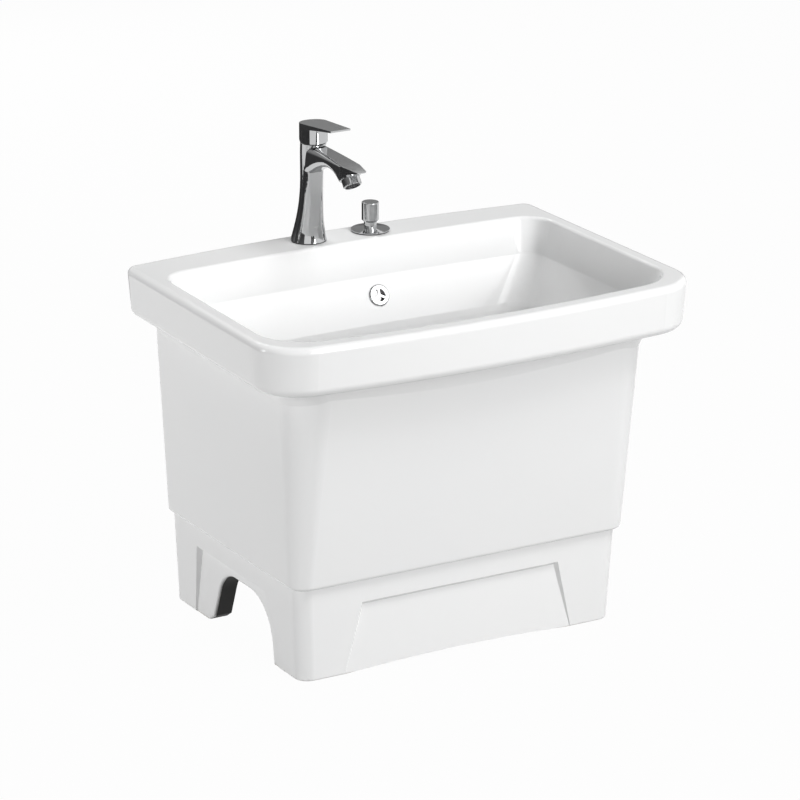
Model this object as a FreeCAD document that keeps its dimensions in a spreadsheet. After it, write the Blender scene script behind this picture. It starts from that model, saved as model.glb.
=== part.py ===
"""Free-standing ceramic mop sink with a lever tap and a lift-knob pop-up waste.

Millimetres, +Z up, +Y towards the wall, origin on the floor under the middle of the rim.
"""
import FreeCAD, Part
import math
import os
import re
import Sketcher

# Driving sizes: name, value, meaning
SIZES = (
    # Ceramic rim
    ("rim_front_width", 603, "rim across its front corners before rounding"),
    ("rim_splay", 7.5, "how far each side of the rim comes in towards its back"),
    ("rim_depth", 443, "rim from the front bow to the back bow"),
    ("rim_band", 64, "height of the rim's outer band"),
    ("rim_lean", 5, "how far the band leans in at its lower edge"),
    ("rim_bow", 18, "bow of the rim's front and back"),
    ("rim_front_corner", 64, "plan radius of the rim's front corners"),
    ("rim_back_corner", 16, "plan radius of the rim's back corners"),
    ("rim_top_round", 8, "rounding of the rim's upper outer edge"),
    ("rim_foot_round", 12, "rounding of the rim's lower outer edge"),
    ("cove_height", 30, "height of the hollow curve under the rim"),
    ("basin_height", 458, "floor to rim top"),
    # Bowl
    ("mouth_side_land", 22, "rim land beside the mouth"),
    ("mouth_front_land", 25, "rim land in front of the mouth"),
    ("deck_depth", 67, "tap deck behind the mouth"),
    ("mouth_front_corner", 62, "plan radius of the mouth's front corners"),
    ("mouth_back_corner", 38, "plan radius of the mouth's back corners"),
    ("mouth_back_bow", 9, "bow of the mouth's back edge"),
    ("mouth_round", 5, "rounding of the mouth's edge"),
    ("crease_depth", 46, "rim top to the crease round the bowl"),
    ("crease_inset", 11, "how far the upper band slopes in to the crease"),
    ("shoulder_depth", 105, "rim top to the shoulder under the crease"),
    ("crease_round", 6, "rounding of the crease"),
    ("shoulder_round", 24, "rounding of the shoulder"),
    ("floor_level", 140, "floor to the bowl's bottom"),
    ("floor_thickness", 16, "ceramic under the bowl"),
    ("shoulder_back_inset", 29, "how far the back wall comes forward from the crease to the shoulder"),
    ("bowl_bow", 3, "bow of the lower bowl's front and back"),
    ("bowl_back_lean", 20, "how far the back wall comes forward below the shoulder"),
    ("bowl_corner", 40, "plan radius of the lower bowl's corners"),
    ("bowl_floor_round", 24, "rounding round the bowl's bottom"),
    # Body and plinth
    ("wall", 19, "thickness of the body's walls at the shoulder"),
    ("side_overhang", 50, "how far the rim stands out past the body's sides"),
    ("side_lean", 15, "how far the body's sides come in towards its lower edge"),
    ("front_overhang", 48.5, "how far the rim's bow stands out past the body's front"),
    ("front_lean", 37, "how far the body's front comes back towards its lower edge"),
    ("back_step", 12.5, "rim's back to the open back"),
    ("body_top_corner", 48, "corner radius under the rim"),
    ("body_back_corner", 6, "radius of the body's back corners"),
    ("body_foot_corner", 22, "corner radius at the body's lower edge"),
    ("body_foot_round", 5, "rounding of the body's lower edge"),
    ("plinth_height", 123, "floor to the body's lower edge"),
    ("plinth_inset", 7, "step from the body in to the plinth"),
    ("plinth_taper", 6, "how far the plinth leans in towards the floor"),
    ("plinth_wall", 27, "thickness of the plinth's walls at the floor"),
    ("plinth_foot_round", 2, "rounding of the plinth's bottom edges"),
    ("back_wall", 16, "thickness of the bowl's back wall"),
    ("deck_thickness", 16, "thickness of the tap deck"),
    ("curtain", 12, "thickness of the band behind the deck"),
    ("front_panel_foot_width", 324, "front recess across its foot"),
    ("front_panel_slant", 25, "lean of the front recess's sides"),
    ("panel_taper", 40, "slope of the recesses' edges, degrees"),
    ("panel_height", 88, "floor to the top of the recesses"),
    ("front_panel_sink", 7, "depth of the front recess"),
    ("front_arch", 5, "rise of the plinth's lower edge at the front"),
    ("side_panel_sink", 5, "depth of the side recesses"),
    ("side_panel_back", 157.5, "centre line to the side recess's back foot"),
    ("side_panel_front", 64.5, "centre line to the side recess's front foot"),
    ("side_panel_slant", 17, "lean of the side recess's back edge"),
    ("side_panel_rake", 31, "lean of the side recess's front edge"),
    ("arch_height", 78, "floor to the top of the side arches"),
    ("arch_back", 116, "centre line to the arch's back foot"),
    ("arch_front", 47.5, "centre line to the arch's front foot"),
    ("arch_back_lean", 31, "lean of the arch's back side"),
    ("arch_flare", 8, "flare of the arch at the back leg's foot"),
    ("arch_front_lean", 12, "lean of the arch's front side"),
    ("arch_back_round", 45, "radius at the arch's back shoulder"),
    ("arch_front_round", 60, "radius at the arch's front shoulder"),
    ("arch_edge", 3, "rounding of the arches' outer edges"),
    # Holes in the ceramic
    ("hole_back", 33.5, "rim's back to the middles of the tap and knob holes"),
    ("tap_x", -40.5, "tap hole across the sink"),
    ("knob_x", 49, "knob hole across the sink"),
    ("tap_hole", 34, "diameter of the tap hole"),
    ("knob_hole", 22, "diameter of the knob hole"),
    ("overflow_x", 30, "overflow across the sink"),
    ("overflow_depth", 69, "rim top to the overflow's centre"),
    ("overflow_hole", 22, "diameter of the overflow hole"),
    ("drain_forward", 62.5, "back of the bowl's bottom to the drain"),
    ("drain_hole", 47, "diameter of the drain hole"),
    # Tap column and spout
    ("gasket", 1.5, "thickness of the seals on the deck and the bowl's bottom"),
    ("tap_base", 46, "diameter of the tap's foot"),
    ("tap_waist", 29.2, "diameter of the tap's neck"),
    ("tap_height", 130, "tap's foot to the seat of the lever"),
    ("tap_lean", 14, "how far the lever's axis stands in front of the hole"),
    ("tap_facet", 20.3, "hole axis to the flat on the column's front"),
    ("outlet_tilt", 37, "tilt of the outlet from straight down, degrees"),
    ("spout_width", 26.8, "spout across its root"),
    ("spout_tip_width", 27, "spout across its nose"),
    ("spout_drop", 9.5, "how far the spout's top falls to its nose"),
    ("spout_nose", 140, "hole axis to the spout's nose"),
    ("spout_root", 88, "tap's foot to the spout's root"),
    ("spout_edge", 0.8, "thickness of the nose's edge"),
    ("spout_corner", 6, "plan radius of the spout's nose"),
    ("spout_middle", 60, "hole axis to the spout's middle section"),
    ("spout_middle_height", 17, "thickness of the spout's middle section"),
    ("spout_reach", 109, "hole axis to the middle of the outlet"),
    ("outlet_drop", 23.7, "tap's top to the middle of the outlet"),
    ("spout_heel", 14, "middle of the outlet to the spout's heel"),
    # Aerator
    ("aerator_diameter", 23.5, "diameter of the aerator"),
    ("aerator_length", 11, "length of the aerator outside the spout"),
    ("aerator_thread", 20, "diameter of the aerator's thread"),
    ("aerator_depth", 9, "length of the aerator inside the spout"),
    ("aerator_wall", 2, "thickness of the aerator's shell"),
    ("jet_hole", 2.6, "diameter of a hole in the aerator's insert"),
    ("jet_spacing", 3.6, "distance between the insert's holes"),
    ("aerator_seal", 2, "thickness of the aerator's washer"),
    # Cartridge
    ("cartridge_diameter", 25, "diameter of the cartridge"),
    ("cartridge_length", 24, "length of the cartridge's housing"),
    ("cartridge_nut_diameter", 27, "thread diameter of the cartridge nut"),
    ("cartridge_nut_grip", 7.5, "length of the cartridge nut inside the tap"),
    ("cartridge_nut_head", 24.5, "diameter of the cartridge nut's head"),
    ("cartridge_nut_rise", 5, "height of the cartridge nut's head"),
    ("turret_diameter", 16.4, "diameter of the turning turret"),
    ("turret_flange", 20, "diameter of the turret's flange"),
    ("turret_flange_height", 3.4, "height of the turret's flange"),
    ("turret_rise", 11, "tap's top to the turret's top"),
    ("pivot_rise", 8.5, "tap's top to the lever's pivot"),
    ("stem_tongue", 6, "width of the stem inside the turret"),
    ("stem_tongue_length", 5, "length of the stem below the pivot"),
    ("stem_neck", 5, "pivot to the wide part of the stem"),
    ("stem_square", 8, "width of the stem inside the lever"),
    ("stem_length", 15, "length of the stem above the pivot"),
    ("stem_pin", 2.5, "diameter of the stem's pin"),
    ("slot_length", 11.4, "length of the slot in the turret"),
    # Lever
    ("lever_gap", 1.5, "gap between the tap and the lever"),
    ("cap_diameter", 35.6, "diameter of the lever's cap"),
    ("cap_height", 23.5, "height of the lever's cap"),
    ("cap_wall", 2.5, "thickness of the cap's skirt"),
    ("cap_cavity", 13.5, "depth of the cap's hollow"),
    ("cap_bevel", 26, "slope of the cap's back lower edge, degrees"),
    ("cap_bevel_start", 1, "lever axis to the start of the bevel"),
    ("paddle_reach", 71, "lever axis to the paddle's tip"),
    ("paddle_tip_width", 28, "paddle across its tip"),
    ("paddle_tip", 2.2, "thickness of the paddle's tip"),
    ("paddle_top", 32.2, "tap's top to the paddle's tip"),
    ("paddle_middle", 36, "lever axis to the paddle's middle section"),
    ("paddle_middle_height", 4.5, "thickness of the paddle's middle"),
    ("paddle_root_height", 8, "thickness of the paddle at its root"),
    ("lever_screw", 5, "diameter of the lever's grub screw"),
    ("lever_screw_length", 8, "length of the lever's grub screw"),
    ("lever_plug", 6.6, "diameter of the plug over the grub screw"),
    ("lever_plug_length", 3, "length of the plug over the grub screw"),
    # Tap fixing
    ("inlet_thread", 10, "diameter of the hose inlets"),
    ("inlet_depth", 12, "depth of the hose inlets"),
    ("inlet_spread", 8, "tap hole axis to a hose inlet across the tap"),
    ("inlet_forward", 5, "tap hole axis to the hose inlets towards the bowl"),
    ("stud_diameter", 8, "diameter of the fixing stud"),
    ("stud_back", 9, "tap hole axis to the stud"),
    ("stud_grip", 12, "length of the stud inside the tap"),
    ("stud_hang", 30, "length of the stud under the deck"),
    ("horseshoe_width", 58, "horseshoe washers across the sink"),
    ("horseshoe_depth", 34, "horseshoe washers from front to back"),
    ("horseshoe_slot", 30, "slot in the horseshoe washers"),
    ("horseshoe_rubber", 3, "thickness of the rubber horseshoe"),
    ("horseshoe_plate", 2, "thickness of the steel horseshoe"),
    ("stud_nut", 13, "fixing nut across its flats"),
    ("stud_nut_height", 7, "height of the fixing nut"),
    # Lift knob
    ("knob_diameter", 22, "diameter of the lift knob"),
    ("knob_height", 25.5, "height of the lift knob"),
    ("knob_chamfer", 2.2, "chamfer of the knob's lower edge"),
    ("knob_top_round", 1.2, "rounding of the knob's top"),
    ("knob_socket", 18, "depth of the knob's rod socket"),
    ("flange_diameter", 50, "diameter of the knob's flange"),
    ("flange_height", 3, "height of the knob's flange"),
    ("collar_diameter", 16.5, "diameter of the collar under the knob"),
    ("collar_height", 11, "deck seal to the collar's top"),
    ("shank_diameter", 20, "diameter of the flange's threaded shank"),
    ("shank_length", 34, "length of the shank under the deck seal"),
    ("shank_nut", 28, "shank nut across its flats"),
    ("shank_nut_height", 7, "height of the shank nut"),
    ("shank_washer", 33, "diameter of the shank washer"),
    ("shank_washer_height", 2, "thickness of the shank washer"),
    ("lift_travel", 25, "travel of the lift knob"),
    ("rod_diameter", 6, "diameter of the lift rod"),
    ("rod_foot", 178, "floor to the lift rod's lower end"),
    # Clevis strap
    ("clevis_block", 12, "clevis block across"),
    ("clevis_block_height", 16, "height of the clevis block"),
    ("clevis_block_foot", 190, "floor to the clevis block"),
    ("strap_thickness", 2, "thickness of the strap"),
    ("strap_width", 12, "width of the strap"),
    ("strap_foot", 48, "floor to the strap's lower end"),
    ("strap_hole", 8, "diameter of the strap's holes"),
    ("strap_hole_pitch", 18, "distance between the strap's holes"),
    ("thumb_screw", 5, "diameter of the clevis screw"),
    ("thumb_head", 10, "diameter of the clevis screw's head"),
    ("thumb_head_height", 4, "height of the clevis screw's head"),
    # Pivot rod
    ("pivot_depth", 62, "bowl's bottom to the pivot ball"),
    ("pivot_arm", 24, "drain axis to the pivot ball"),
    ("pivot_ball", 11, "diameter of the pivot ball"),
    ("pivot_rod", 5, "diameter of the pivot rod"),
    ("pivot_rod_past", 12, "length of the pivot rod past the strap"),
    ("pivot_rod_inside", 6, "length of the pivot rod past the drain axis"),
    ("port_diameter", 20, "diameter of the pivot port"),
    ("port_bore", 14, "bore of the pivot port"),
    ("port_seat", 9.5, "bore of the seat behind the ball"),
    ("port_length", 34, "drain axis to the port's end"),
    ("pivot_nut", 26, "diameter of the pivot nut"),
    ("pivot_nut_hole", 10, "hole in the pivot nut"),
    ("pivot_nut_length", 13, "length of the pivot nut"),
    ("pivot_nut_wall", 2.5, "end wall of the pivot nut"),
    # Drain
    ("drain_flange", 64, "diameter of the drain flange"),
    ("drain_flange_height", 2.5, "height of the drain flange"),
    ("drain_tube", 43, "diameter of the flange's threaded tube"),
    ("drain_bore", 36, "bore of the flange's tube"),
    ("drain_tube_length", 46, "length of the flange's tube under the bowl's bottom"),
    ("drain_under_seal", 5, "thickness of the seal under the bowl"),
    ("drain_under_seal_width", 60, "diameter of the seal under the bowl"),
    ("drain_nut", 58, "drain nut across its flats"),
    ("drain_nut_height", 10, "height of the drain nut"),
    ("socket_diameter", 51, "diameter of the drain body's socket"),
    ("socket_top", 39, "bowl's bottom to the socket's top"),
    ("drain_body_diameter", 42, "diameter of the drain body"),
    ("drain_body_bore", 35, "bore of the drain body"),
    ("drain_body_foot", 88, "bowl's bottom to the drain body's lower end"),
    ("tail_diameter", 32, "diameter of the tailpiece"),
    ("tail_wall", 1.5, "thickness of the tailpiece"),
    ("tail_grip", 12, "length of the tailpiece inside the drain body"),
    ("tail_step", 0.5, "how much thinner the tailpiece is inside the drain body"),
    ("tail_length", 32, "length of the tailpiece under the drain body"),
    # Pop-up plug
    ("plug_diameter", 46, "diameter of the plug's cap"),
    ("plug_cap_height", 5, "height of the plug's cap"),
    ("plug_skirt", 30, "diameter of the plug's guide"),
    ("plug_skirt_height", 10, "height of the plug's guide"),
    ("plug_stem", 12, "diameter of the plug's stem"),
    ("plug_eye", 8, "height of the eye in the plug's stem"),
    ("plug_seal", 3, "thickness of the plug's ring seal"),
    # Overflow ring
    ("overflow_ring", 28, "diameter of the overflow ring"),
    ("overflow_lip", 2.5, "height of the overflow ring's lip"),
    ("overflow_bore", 17, "bore of the overflow ring"),
    ("overflow_sleeve", 11, "length of the ring's sleeve in the wall"),
    ("overflow_spoke", 2.6, "width of a spoke in the overflow ring"),
    # Fits
    ("running_fit", 0.08, "radial clearance of turning and sliding fits"),
    ("assembly_fit", 0.15, "radial clearance of screwed and pushed fits"),
    ("side_gap", 0.4, "clearance beside faces that move past each other"),
)

# Sizes that follow others: name, formula, meaning
FOLLOWING = (
    ("rim_back_width", "rim_front_width - 2*rim_splay", "rim across its back corners before rounding"),
    ("mouth_back", "rim_depth/2 - deck_depth", "centre line to the mouth's back edge"),
    ("body_top_width", "rim_front_width - 2*side_overhang", "body across the sides under the rim"),
    ("body_foot_width", "body_top_width - 2*side_lean", "body across the sides at its lower edge"),
    ("body_top_front", "rim_depth/2 - front_overhang", "centre line to the body's front under the rim"),
    ("body_foot_front", "body_top_front - front_lean", "centre line to the body's front at its lower edge"),
    ("body_back", "rim_depth/2 - back_step", "centre line to the open back"),
    ("hole_y", "rim_depth/2 - hole_back", "centre line to the tap and knob holes"),
    ("bowl_back", "mouth_back - crease_inset - shoulder_back_inset - bowl_back_lean",
     "centre line to the back of the bowl's bottom"),
    ("drain_y", "bowl_back - drain_forward", "centre line to the drain"),
    ("outlet_height", "tap_height - outlet_drop", "tap's foot to the middle of the outlet"),
    ("spout_slope", "spout_drop/(spout_nose - tap_lean)", "fall of the spout's top"),
    ("spout_lip", "(outlet_drop - spout_slope*(spout_reach - tap_lean))"
     "/(sin(outlet_tilt) + spout_slope*cos(outlet_tilt))", "middle of the outlet to the top of its face"),
)

# Share of a bowed edge's half length that its arc covers on each side of the middle
BOW_SHARE = 0.75
# Corner of a bowed edge to the corner of its two tangents, in bows
BOW_TIP = 1 / (1 - BOW_SHARE / 2)
SPOKES = 3
JET_RINGS = 2
STRAP_HOLES = 3

doc = FreeCAD.newDocument("mop_sink")
sheet = doc.addObject("Spreadsheet::Sheet", "Sizes")
given = [(alias, str(amount), meaning) for alias, amount, meaning in SIZES]
worked_out = [(alias, f"={formula}", meaning) for alias, formula, meaning in FOLLOWING]
for row, (alias, content, meaning) in enumerate(given + worked_out, 1):
    sheet.set(f"A{row}", meaning)
    sheet.set(f"B{row}", content)
    sheet.setAlias(f"B{row}", alias)
doc.recompute()

ALIASES = {alias for alias, content, meaning in given + worked_out}
WORD = re.compile(r"[A-Za-z_]\w*")
UP = FreeCAD.Vector(0, 0, 1)
DOWN = FreeCAD.Vector(0, 0, -1)
LEFT = FreeCAD.Vector(-1, 0, 0)
RIGHT = FreeCAD.Vector(1, 0, 0)
parts = []


def linked(size):
    """Return the expression with each size name pointing at its cell in the sheet."""
    return WORD.sub(lambda word: f"Sizes.{word[0]}" if word[0] in ALIASES else word[0], str(size))


def number(size):
    """Return what a size expression comes to now."""
    return float(FreeCAD.Units.Quantity(sheet.evalExpression(linked(size))).Value)


def new_body(label, x="0", y="0", z="0"):
    """Start a sub-part whose own origin stands at x, y, z."""
    body = doc.addObject("PartDesign::Body", label)
    body.Label = label
    for axis, place in zip("xyz", (x, y, z)):
        body.setExpression(f"Placement.Base.{axis}", linked(place))
    parts.append(body)
    return body


def turn_body(body, axis, angle):
    """Turn a sub-part about its own origin."""
    base = body.Placement.Base
    body.Placement = FreeCAD.Placement(base, FreeCAD.Rotation(axis, number(angle)))
    body.setExpression("Placement.Rotation.Angle", linked(angle))


def new_sketch(body, plane, offset="0", shift=("0", "0"), turn=None):
    """Add a sketch on one of the body's own planes, moved along its normal and in it, and turned."""
    sketch = body.newObject("Sketcher::SketchObject", f"{body.Label}_sketch")
    support = next(item for item in body.Origin.OriginFeatures if item.Role == plane)
    sketch.AttachmentSupport = [(support, "")]
    sketch.MapMode = "FlatFace"
    if turn:
        axis, angle = turn
        sketch.AttachmentOffset = FreeCAD.Placement(FreeCAD.Vector(), FreeCAD.Rotation(axis, number(angle)))
        sketch.setExpression("AttachmentOffset.Rotation.Angle", linked(angle))
    for axis, place in zip("xyz", (*shift, offset)):
        sketch.setExpression(f"AttachmentOffset.Base.{axis}", linked(place))
    return sketch


def bind(sketch, kind, place, size):
    """Add a dimension to a sketch and tie it to the sheet."""
    index = sketch.addConstraint(Sketcher.Constraint(kind, *place, number(size)))
    sketch.setExpression(f"Constraints[{index}]", linked(size))


def outline(sketch, corners):
    """Draw a closed outline through corners (x, y) or (x, y, radius), anticlockwise."""
    corners = [(*corner, "0")[:3] for corner in corners]
    places = [FreeCAD.Vector(number(x), number(y), 0) for x, y, radius in corners]
    radii = [number(radius) for x, y, radius in corners]
    count = len(corners)
    reaches = []
    for index, place in enumerate(places):
        back = (places[index - 1] - place).normalize()
        ahead = (places[(index + 1) % count] - place).normalize()
        reach = radii[index] / math.tan(back.getAngle(ahead) / 2)
        reaches.append((place + back * reach, place + ahead * reach))
    lines = []
    for index in range(count):
        line = Part.LineSegment(reaches[index][1], reaches[(index + 1) % count][0])
        lines.append(sketch.addGeometry(line, False))
    for index, (x, y, radius) in enumerate(corners):
        before, after = lines[index - 1], lines[index]
        if not radii[index]:
            sketch.addConstraint(Sketcher.Constraint("Coincident", before, 2, after, 1))
            bind(sketch, "DistanceX", (-1, 1, after, 1), x)
            bind(sketch, "DistanceY", (-1, 1, after, 1), y)
            continue
        round_corner(sketch, places[index], reaches[index], radii[index], (before, after))
        point = sketch.GeometryCount - 1
        bind(sketch, "Radius", (point - 1,), radius)
        bind(sketch, "DistanceX", (-1, 1, point, 1), x)
        bind(sketch, "DistanceY", (-1, 1, point, 1), y)


def round_corner(sketch, corner, reach, radius, lines):
    """Join two lines with a tangent arc and keep their corner as a construction point."""
    start, end = reach
    inward = ((start + end) * 0.5 - corner).normalize()
    half = (start - corner).getAngle(inward)
    centre = corner + inward * (radius / math.sin(half))
    left_turn = (corner - start).cross(end - corner).z > 0
    first, last = (start, end) if left_turn else (end, start)
    angles = [math.atan2(spot.y - centre.y, spot.x - centre.x) for spot in (first, last)]
    arc = sketch.addGeometry(Part.ArcOfCircle(Part.Circle(centre, UP, radius), *angles), False)
    point = sketch.addGeometry(Part.Point(corner), True)
    ends = (1, 2) if left_turn else (2, 1)
    sketch.addConstraint([
        Sketcher.Constraint("Tangent", lines[0], 2, arc, ends[0]),
        Sketcher.Constraint("Tangent", lines[1], 1, arc, ends[1]),
        Sketcher.Constraint("PointOnObject", point, 1, lines[0]),
        Sketcher.Constraint("PointOnObject", point, 1, lines[1]),
    ])


def circle(sketch, diameter, x="0", y="0"):
    """Draw a circle."""
    centre = FreeCAD.Vector(number(x), number(y), 0)
    ring = sketch.addGeometry(Part.Circle(centre, UP, number(diameter) / 2), False)
    bind(sketch, "Diameter", (ring,), diameter)
    bind(sketch, "DistanceX", (-1, 1, ring, 3), x)
    bind(sketch, "DistanceY", (-1, 1, ring, 3), y)


def oblong(half_width, low, high):
    """Return the corners of a rectangle about the upright axis."""
    left = f"-({half_width})"
    return [(left, low), (half_width, low), (half_width, high), (left, high)]


def extrude(body, kind, sketch, length=None, both=False, reverse=False, taper=None):
    """Pad or pocket a sketch; a pocket without a length goes right through and a taper opens it outwards."""
    feature = body.newObject(f"PartDesign::{kind}", f"{body.Label}_{kind}")
    feature.Profile = sketch
    feature.Reversed = reverse
    if both:
        feature.SideType = "Symmetric"
    if length is None:
        feature.Type = "ThroughAll"
    else:
        feature.setExpression("Length", linked(length))
    if taper:
        feature.setExpression("TaperAngle", linked(taper))
    return feature


def prism(body, kind, plane, corners, length=None, offset="0", **way):
    """Sketch an outline and pad or pocket it."""
    sketch = new_sketch(body, plane, offset)
    outline(sketch, corners)
    return extrude(body, kind, sketch, length, **way)


def disc(body, kind, plane, diameters, length=None, offset="0", centre=("0", "0"), **way):
    """Sketch circles about one centre and pad or pocket them."""
    sketch = new_sketch(body, plane, offset)
    for diameter in diameters:
        circle(sketch, diameter, *centre)
    return extrude(body, kind, sketch, length, **way)


def spin(body, kind, sketch):
    """Revolve a sketch about its vertical axis, as added or as removed material."""
    feature = body.newObject(f"PartDesign::{kind}", f"{body.Label}_{kind}")
    feature.Profile = sketch
    feature.ReferenceAxis = (sketch, ["V_Axis"])
    feature.Angle = 360
    return feature


def loft(body, kind, sketches, ruled):
    """Loft through sketches, as added or as removed material."""
    feature = body.newObject(f"PartDesign::{kind}", f"{body.Label}_{kind}")
    feature.Profile = sketches[0]
    feature.Sections = sketches[1:]
    feature.Ruled = ruled
    return feature


def soften(body, kind, size, wanted):
    """Fillet or chamfer the edges of the body's last feature that the test picks."""
    doc.recompute()
    base = body.Tip
    names = [f"Edge{index}" for index, edge in enumerate(base.Shape.Edges, 1) if wanted(edge)]
    feature = body.newObject(f"PartDesign::{kind}", f"{body.Label}_{kind}")
    feature.Base = (base, names)
    feature.setExpression("Radius" if kind == "Fillet" else "Size", linked(size))
    return feature


def turned(label, profile, place):
    """Make a sub-part by turning a profile of (radius, height) corners."""
    body = new_body(label, *place)
    sketch = new_sketch(body, "XZ_Plane")
    outline(sketch, profile)
    spin(body, "Revolution", sketch)
    return body


def ring(label, outer, inner, low, high, place):
    """Make a plain washer or seal from its diameters and heights."""
    corners = [(f"{inner}/2", low), (f"{outer}/2", low), (f"{outer}/2", high), (f"{inner}/2", high)]
    return turned(label, corners, place)


def hexagon(flats, height="0"):
    """Return the corners of a hexagon from its width across flats."""
    reach = f"({flats})/sqrt(3)"
    return [(f"{reach}*cos({angle})", f"{height} + {reach}*sin({angle})") for angle in range(0, 360, 60)]


def hex_nut(label, flats, bore, low, height, place):
    """Make a hexagon nut."""
    body = new_body(label, *place)
    blank = new_sketch(body, "XY_Plane", low)
    outline(blank, hexagon(flats))
    circle(blank, bore)
    extrude(body, "Pad", blank, height)
    return body


def near(amount, size):
    """Tell whether a coordinate lies at a size."""
    return abs(amount - number(size)) < 0.05


def level(edge, size):
    """Tell whether an edge lies at one height."""
    box = edge.BoundBox
    return near(box.ZMin, size) and near(box.ZMax, size)


# Ceramic basin

def barrel(sketch, plan, inset="0"):
    """Draw a plan outline with bowed front and back and rounded corners, moved in all round."""
    half, back_half, front, back, front_corner, back_corner, front_bow, back_bow = plan
    front_slope = f"({BOW_TIP}*({front_bow})/({half}))"
    back_slope = f"({BOW_TIP}*({back_bow})/({back_half}))"
    side_slope = f"((({half}) - ({back_half}))/(({back}) - ({back_bow}) - ({front}) - ({front_bow})))"
    front_tip = f"({front} - {BOW_TIP - 1}*({front_bow}) + ({inset})*sqrt(1 + {front_slope}^2))"
    back_tip = f"({back} + {BOW_TIP - 1}*({back_bow}) - ({inset})*sqrt(1 + {back_slope}^2))"
    side = f"({half} + ({front} + {front_bow})*{side_slope} - ({inset})*sqrt(1 + {side_slope}^2))"
    front_x = f"(({side} - {front_tip}*{side_slope})/(1 + {front_slope}*{side_slope}))"
    back_x = f"(({side} - {back_tip}*{side_slope})/(1 - {back_slope}*{side_slope}))"
    front_y = f"{front_tip} + {front_x}*{front_slope}"
    back_y = f"{back_tip} - {back_x}*{back_slope}"
    outline(sketch, [
        (f"-{front_x}", front_y, f"{front_corner} - ({inset})"),
        ("0", front_tip, f"{BOW_SHARE}*({half})/{front_slope} - ({inset})"),
        (front_x, front_y, f"{front_corner} - ({inset})"),
        (back_x, back_y, f"{back_corner} - ({inset})"),
        ("0", back_tip, f"{BOW_SHARE}*({back_half})/{back_slope} - ({inset})"),
        (f"-{back_x}", back_y, f"{back_corner} - ({inset})"),
    ])


def box_outline(sketch, half, front, back, front_corner, back_corner):
    """Draw a plan outline with rounded front corners and a straight back."""
    outline(sketch, [
        (f"-({half})", front, front_corner),
        (half, front, front_corner),
        (half, back, back_corner),
        (f"-({half})", back, back_corner),
    ])


def rim_plan(body, height, inset):
    """Sketch the rim's plan at a height."""
    sketch = new_sketch(body, "XY_Plane", height)
    barrel(sketch, (
        "rim_front_width/2", "rim_back_width/2", "-rim_depth/2", "rim_depth/2",
        "rim_front_corner", "rim_back_corner", "rim_bow", "rim_bow",
    ), inset)
    return sketch


def bowl_plans(body):
    """Sketch the bowl's plans at the mouth, crease, shoulder and bottom."""
    mouth = (
        "rim_front_width/2 - mouth_side_land", "rim_back_width/2 - mouth_side_land",
        "-rim_depth/2 + mouth_front_land", "mouth_back",
        "mouth_front_corner", "mouth_back_corner", "rim_bow", "mouth_back_bow",
    )
    body_height = "(basin_height - rim_band + rim_foot_round - plinth_height)"
    lower = []
    for height, lean in (("basin_height - shoulder_depth", "0"), ("floor_level", "bowl_back_lean")):
        share = f"(({height} - plinth_height)/{body_height})"
        half = f"(body_foot_width + (body_top_width - body_foot_width)*{share})/2 - wall"
        front = f"-body_foot_front - (body_top_front - body_foot_front)*{share} + wall"
        back = f"mouth_back - crease_inset - shoulder_back_inset - {lean}"
        lower.append((height, (
            half, half, front, back, "bowl_corner", "bowl_corner", "bowl_bow", "bowl_bow"), "0"))
    sketches = []
    levels = [("basin_height", mouth, "0"), ("basin_height - crease_depth", mouth, "crease_inset"), *lower]
    for height, plan, inset in levels:
        sketch = new_sketch(body, "XY_Plane", height)
        barrel(sketch, plan, inset)
        sketches.append(sketch)
    return sketches


def in_mouth(point):
    """Tell whether a point on the rim's top lies on the mouth's edge."""
    beside = abs(point.x) < number("rim_front_width/2 - mouth_side_land + 1")
    behind_front = point.y > number("-rim_depth/2 + mouth_front_land - 1")
    return beside and behind_front and point.y < number("mouth_back + 1")


def middle(edge):
    """Return the point half way along an edge."""
    return edge.valueAt((edge.FirstParameter + edge.LastParameter) / 2)


def stack(body, sections, back_corner):
    """Loft a straight-backed box between two plan sections."""
    sketches = []
    for height, half, front, corner in sections:
        sketch = new_sketch(body, "XY_Plane", height)
        box_outline(sketch, half, front, "body_back", corner, back_corner)
        sketches.append(sketch)
    loft(body, "AdditiveLoft", sketches, True)


def cove(body):
    """Fill the corner under the rim with a hollow curve from the rim's foot to the body."""
    rim_foot = "basin_height - rim_band"
    share = f"(1 - (rim_foot_round + cove_height)/({rim_foot} + rim_foot_round - plinth_height))"
    inset = "(rim_lean + rim_foot_round + 1)"
    low = (
        f"(body_foot_width + (body_top_width - body_foot_width)*{share})/2",
        f"(-body_foot_front - (body_top_front - body_foot_front)*{share})",
        f"(body_foot_corner + (body_top_corner - body_foot_corner)*{share})", "2",
    )
    high = (
        f"(rim_back_width/2 - {inset})", f"(-rim_depth/2 + {inset})", f"(rim_front_corner - {inset})", "rim_bow",
    )
    sketches = []
    for rise, blend in (("1", 1), ("-0.3*cove_height", 0.35), ("-cove_height", 0)):
        pairs = zip(low, high)
        half, front, corner, bow = (f"({lower} + ({upper} - {lower})*{blend})" for lower, upper in pairs)
        sketch = new_sketch(body, "XY_Plane", f"{rim_foot} + {rise}")
        barrel(sketch, (half, half, front, "body_back", corner, "body_back_corner", bow, "2"))
        sketches.append(sketch)
    loft(body, "AdditiveLoft", sketches, False)


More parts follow.
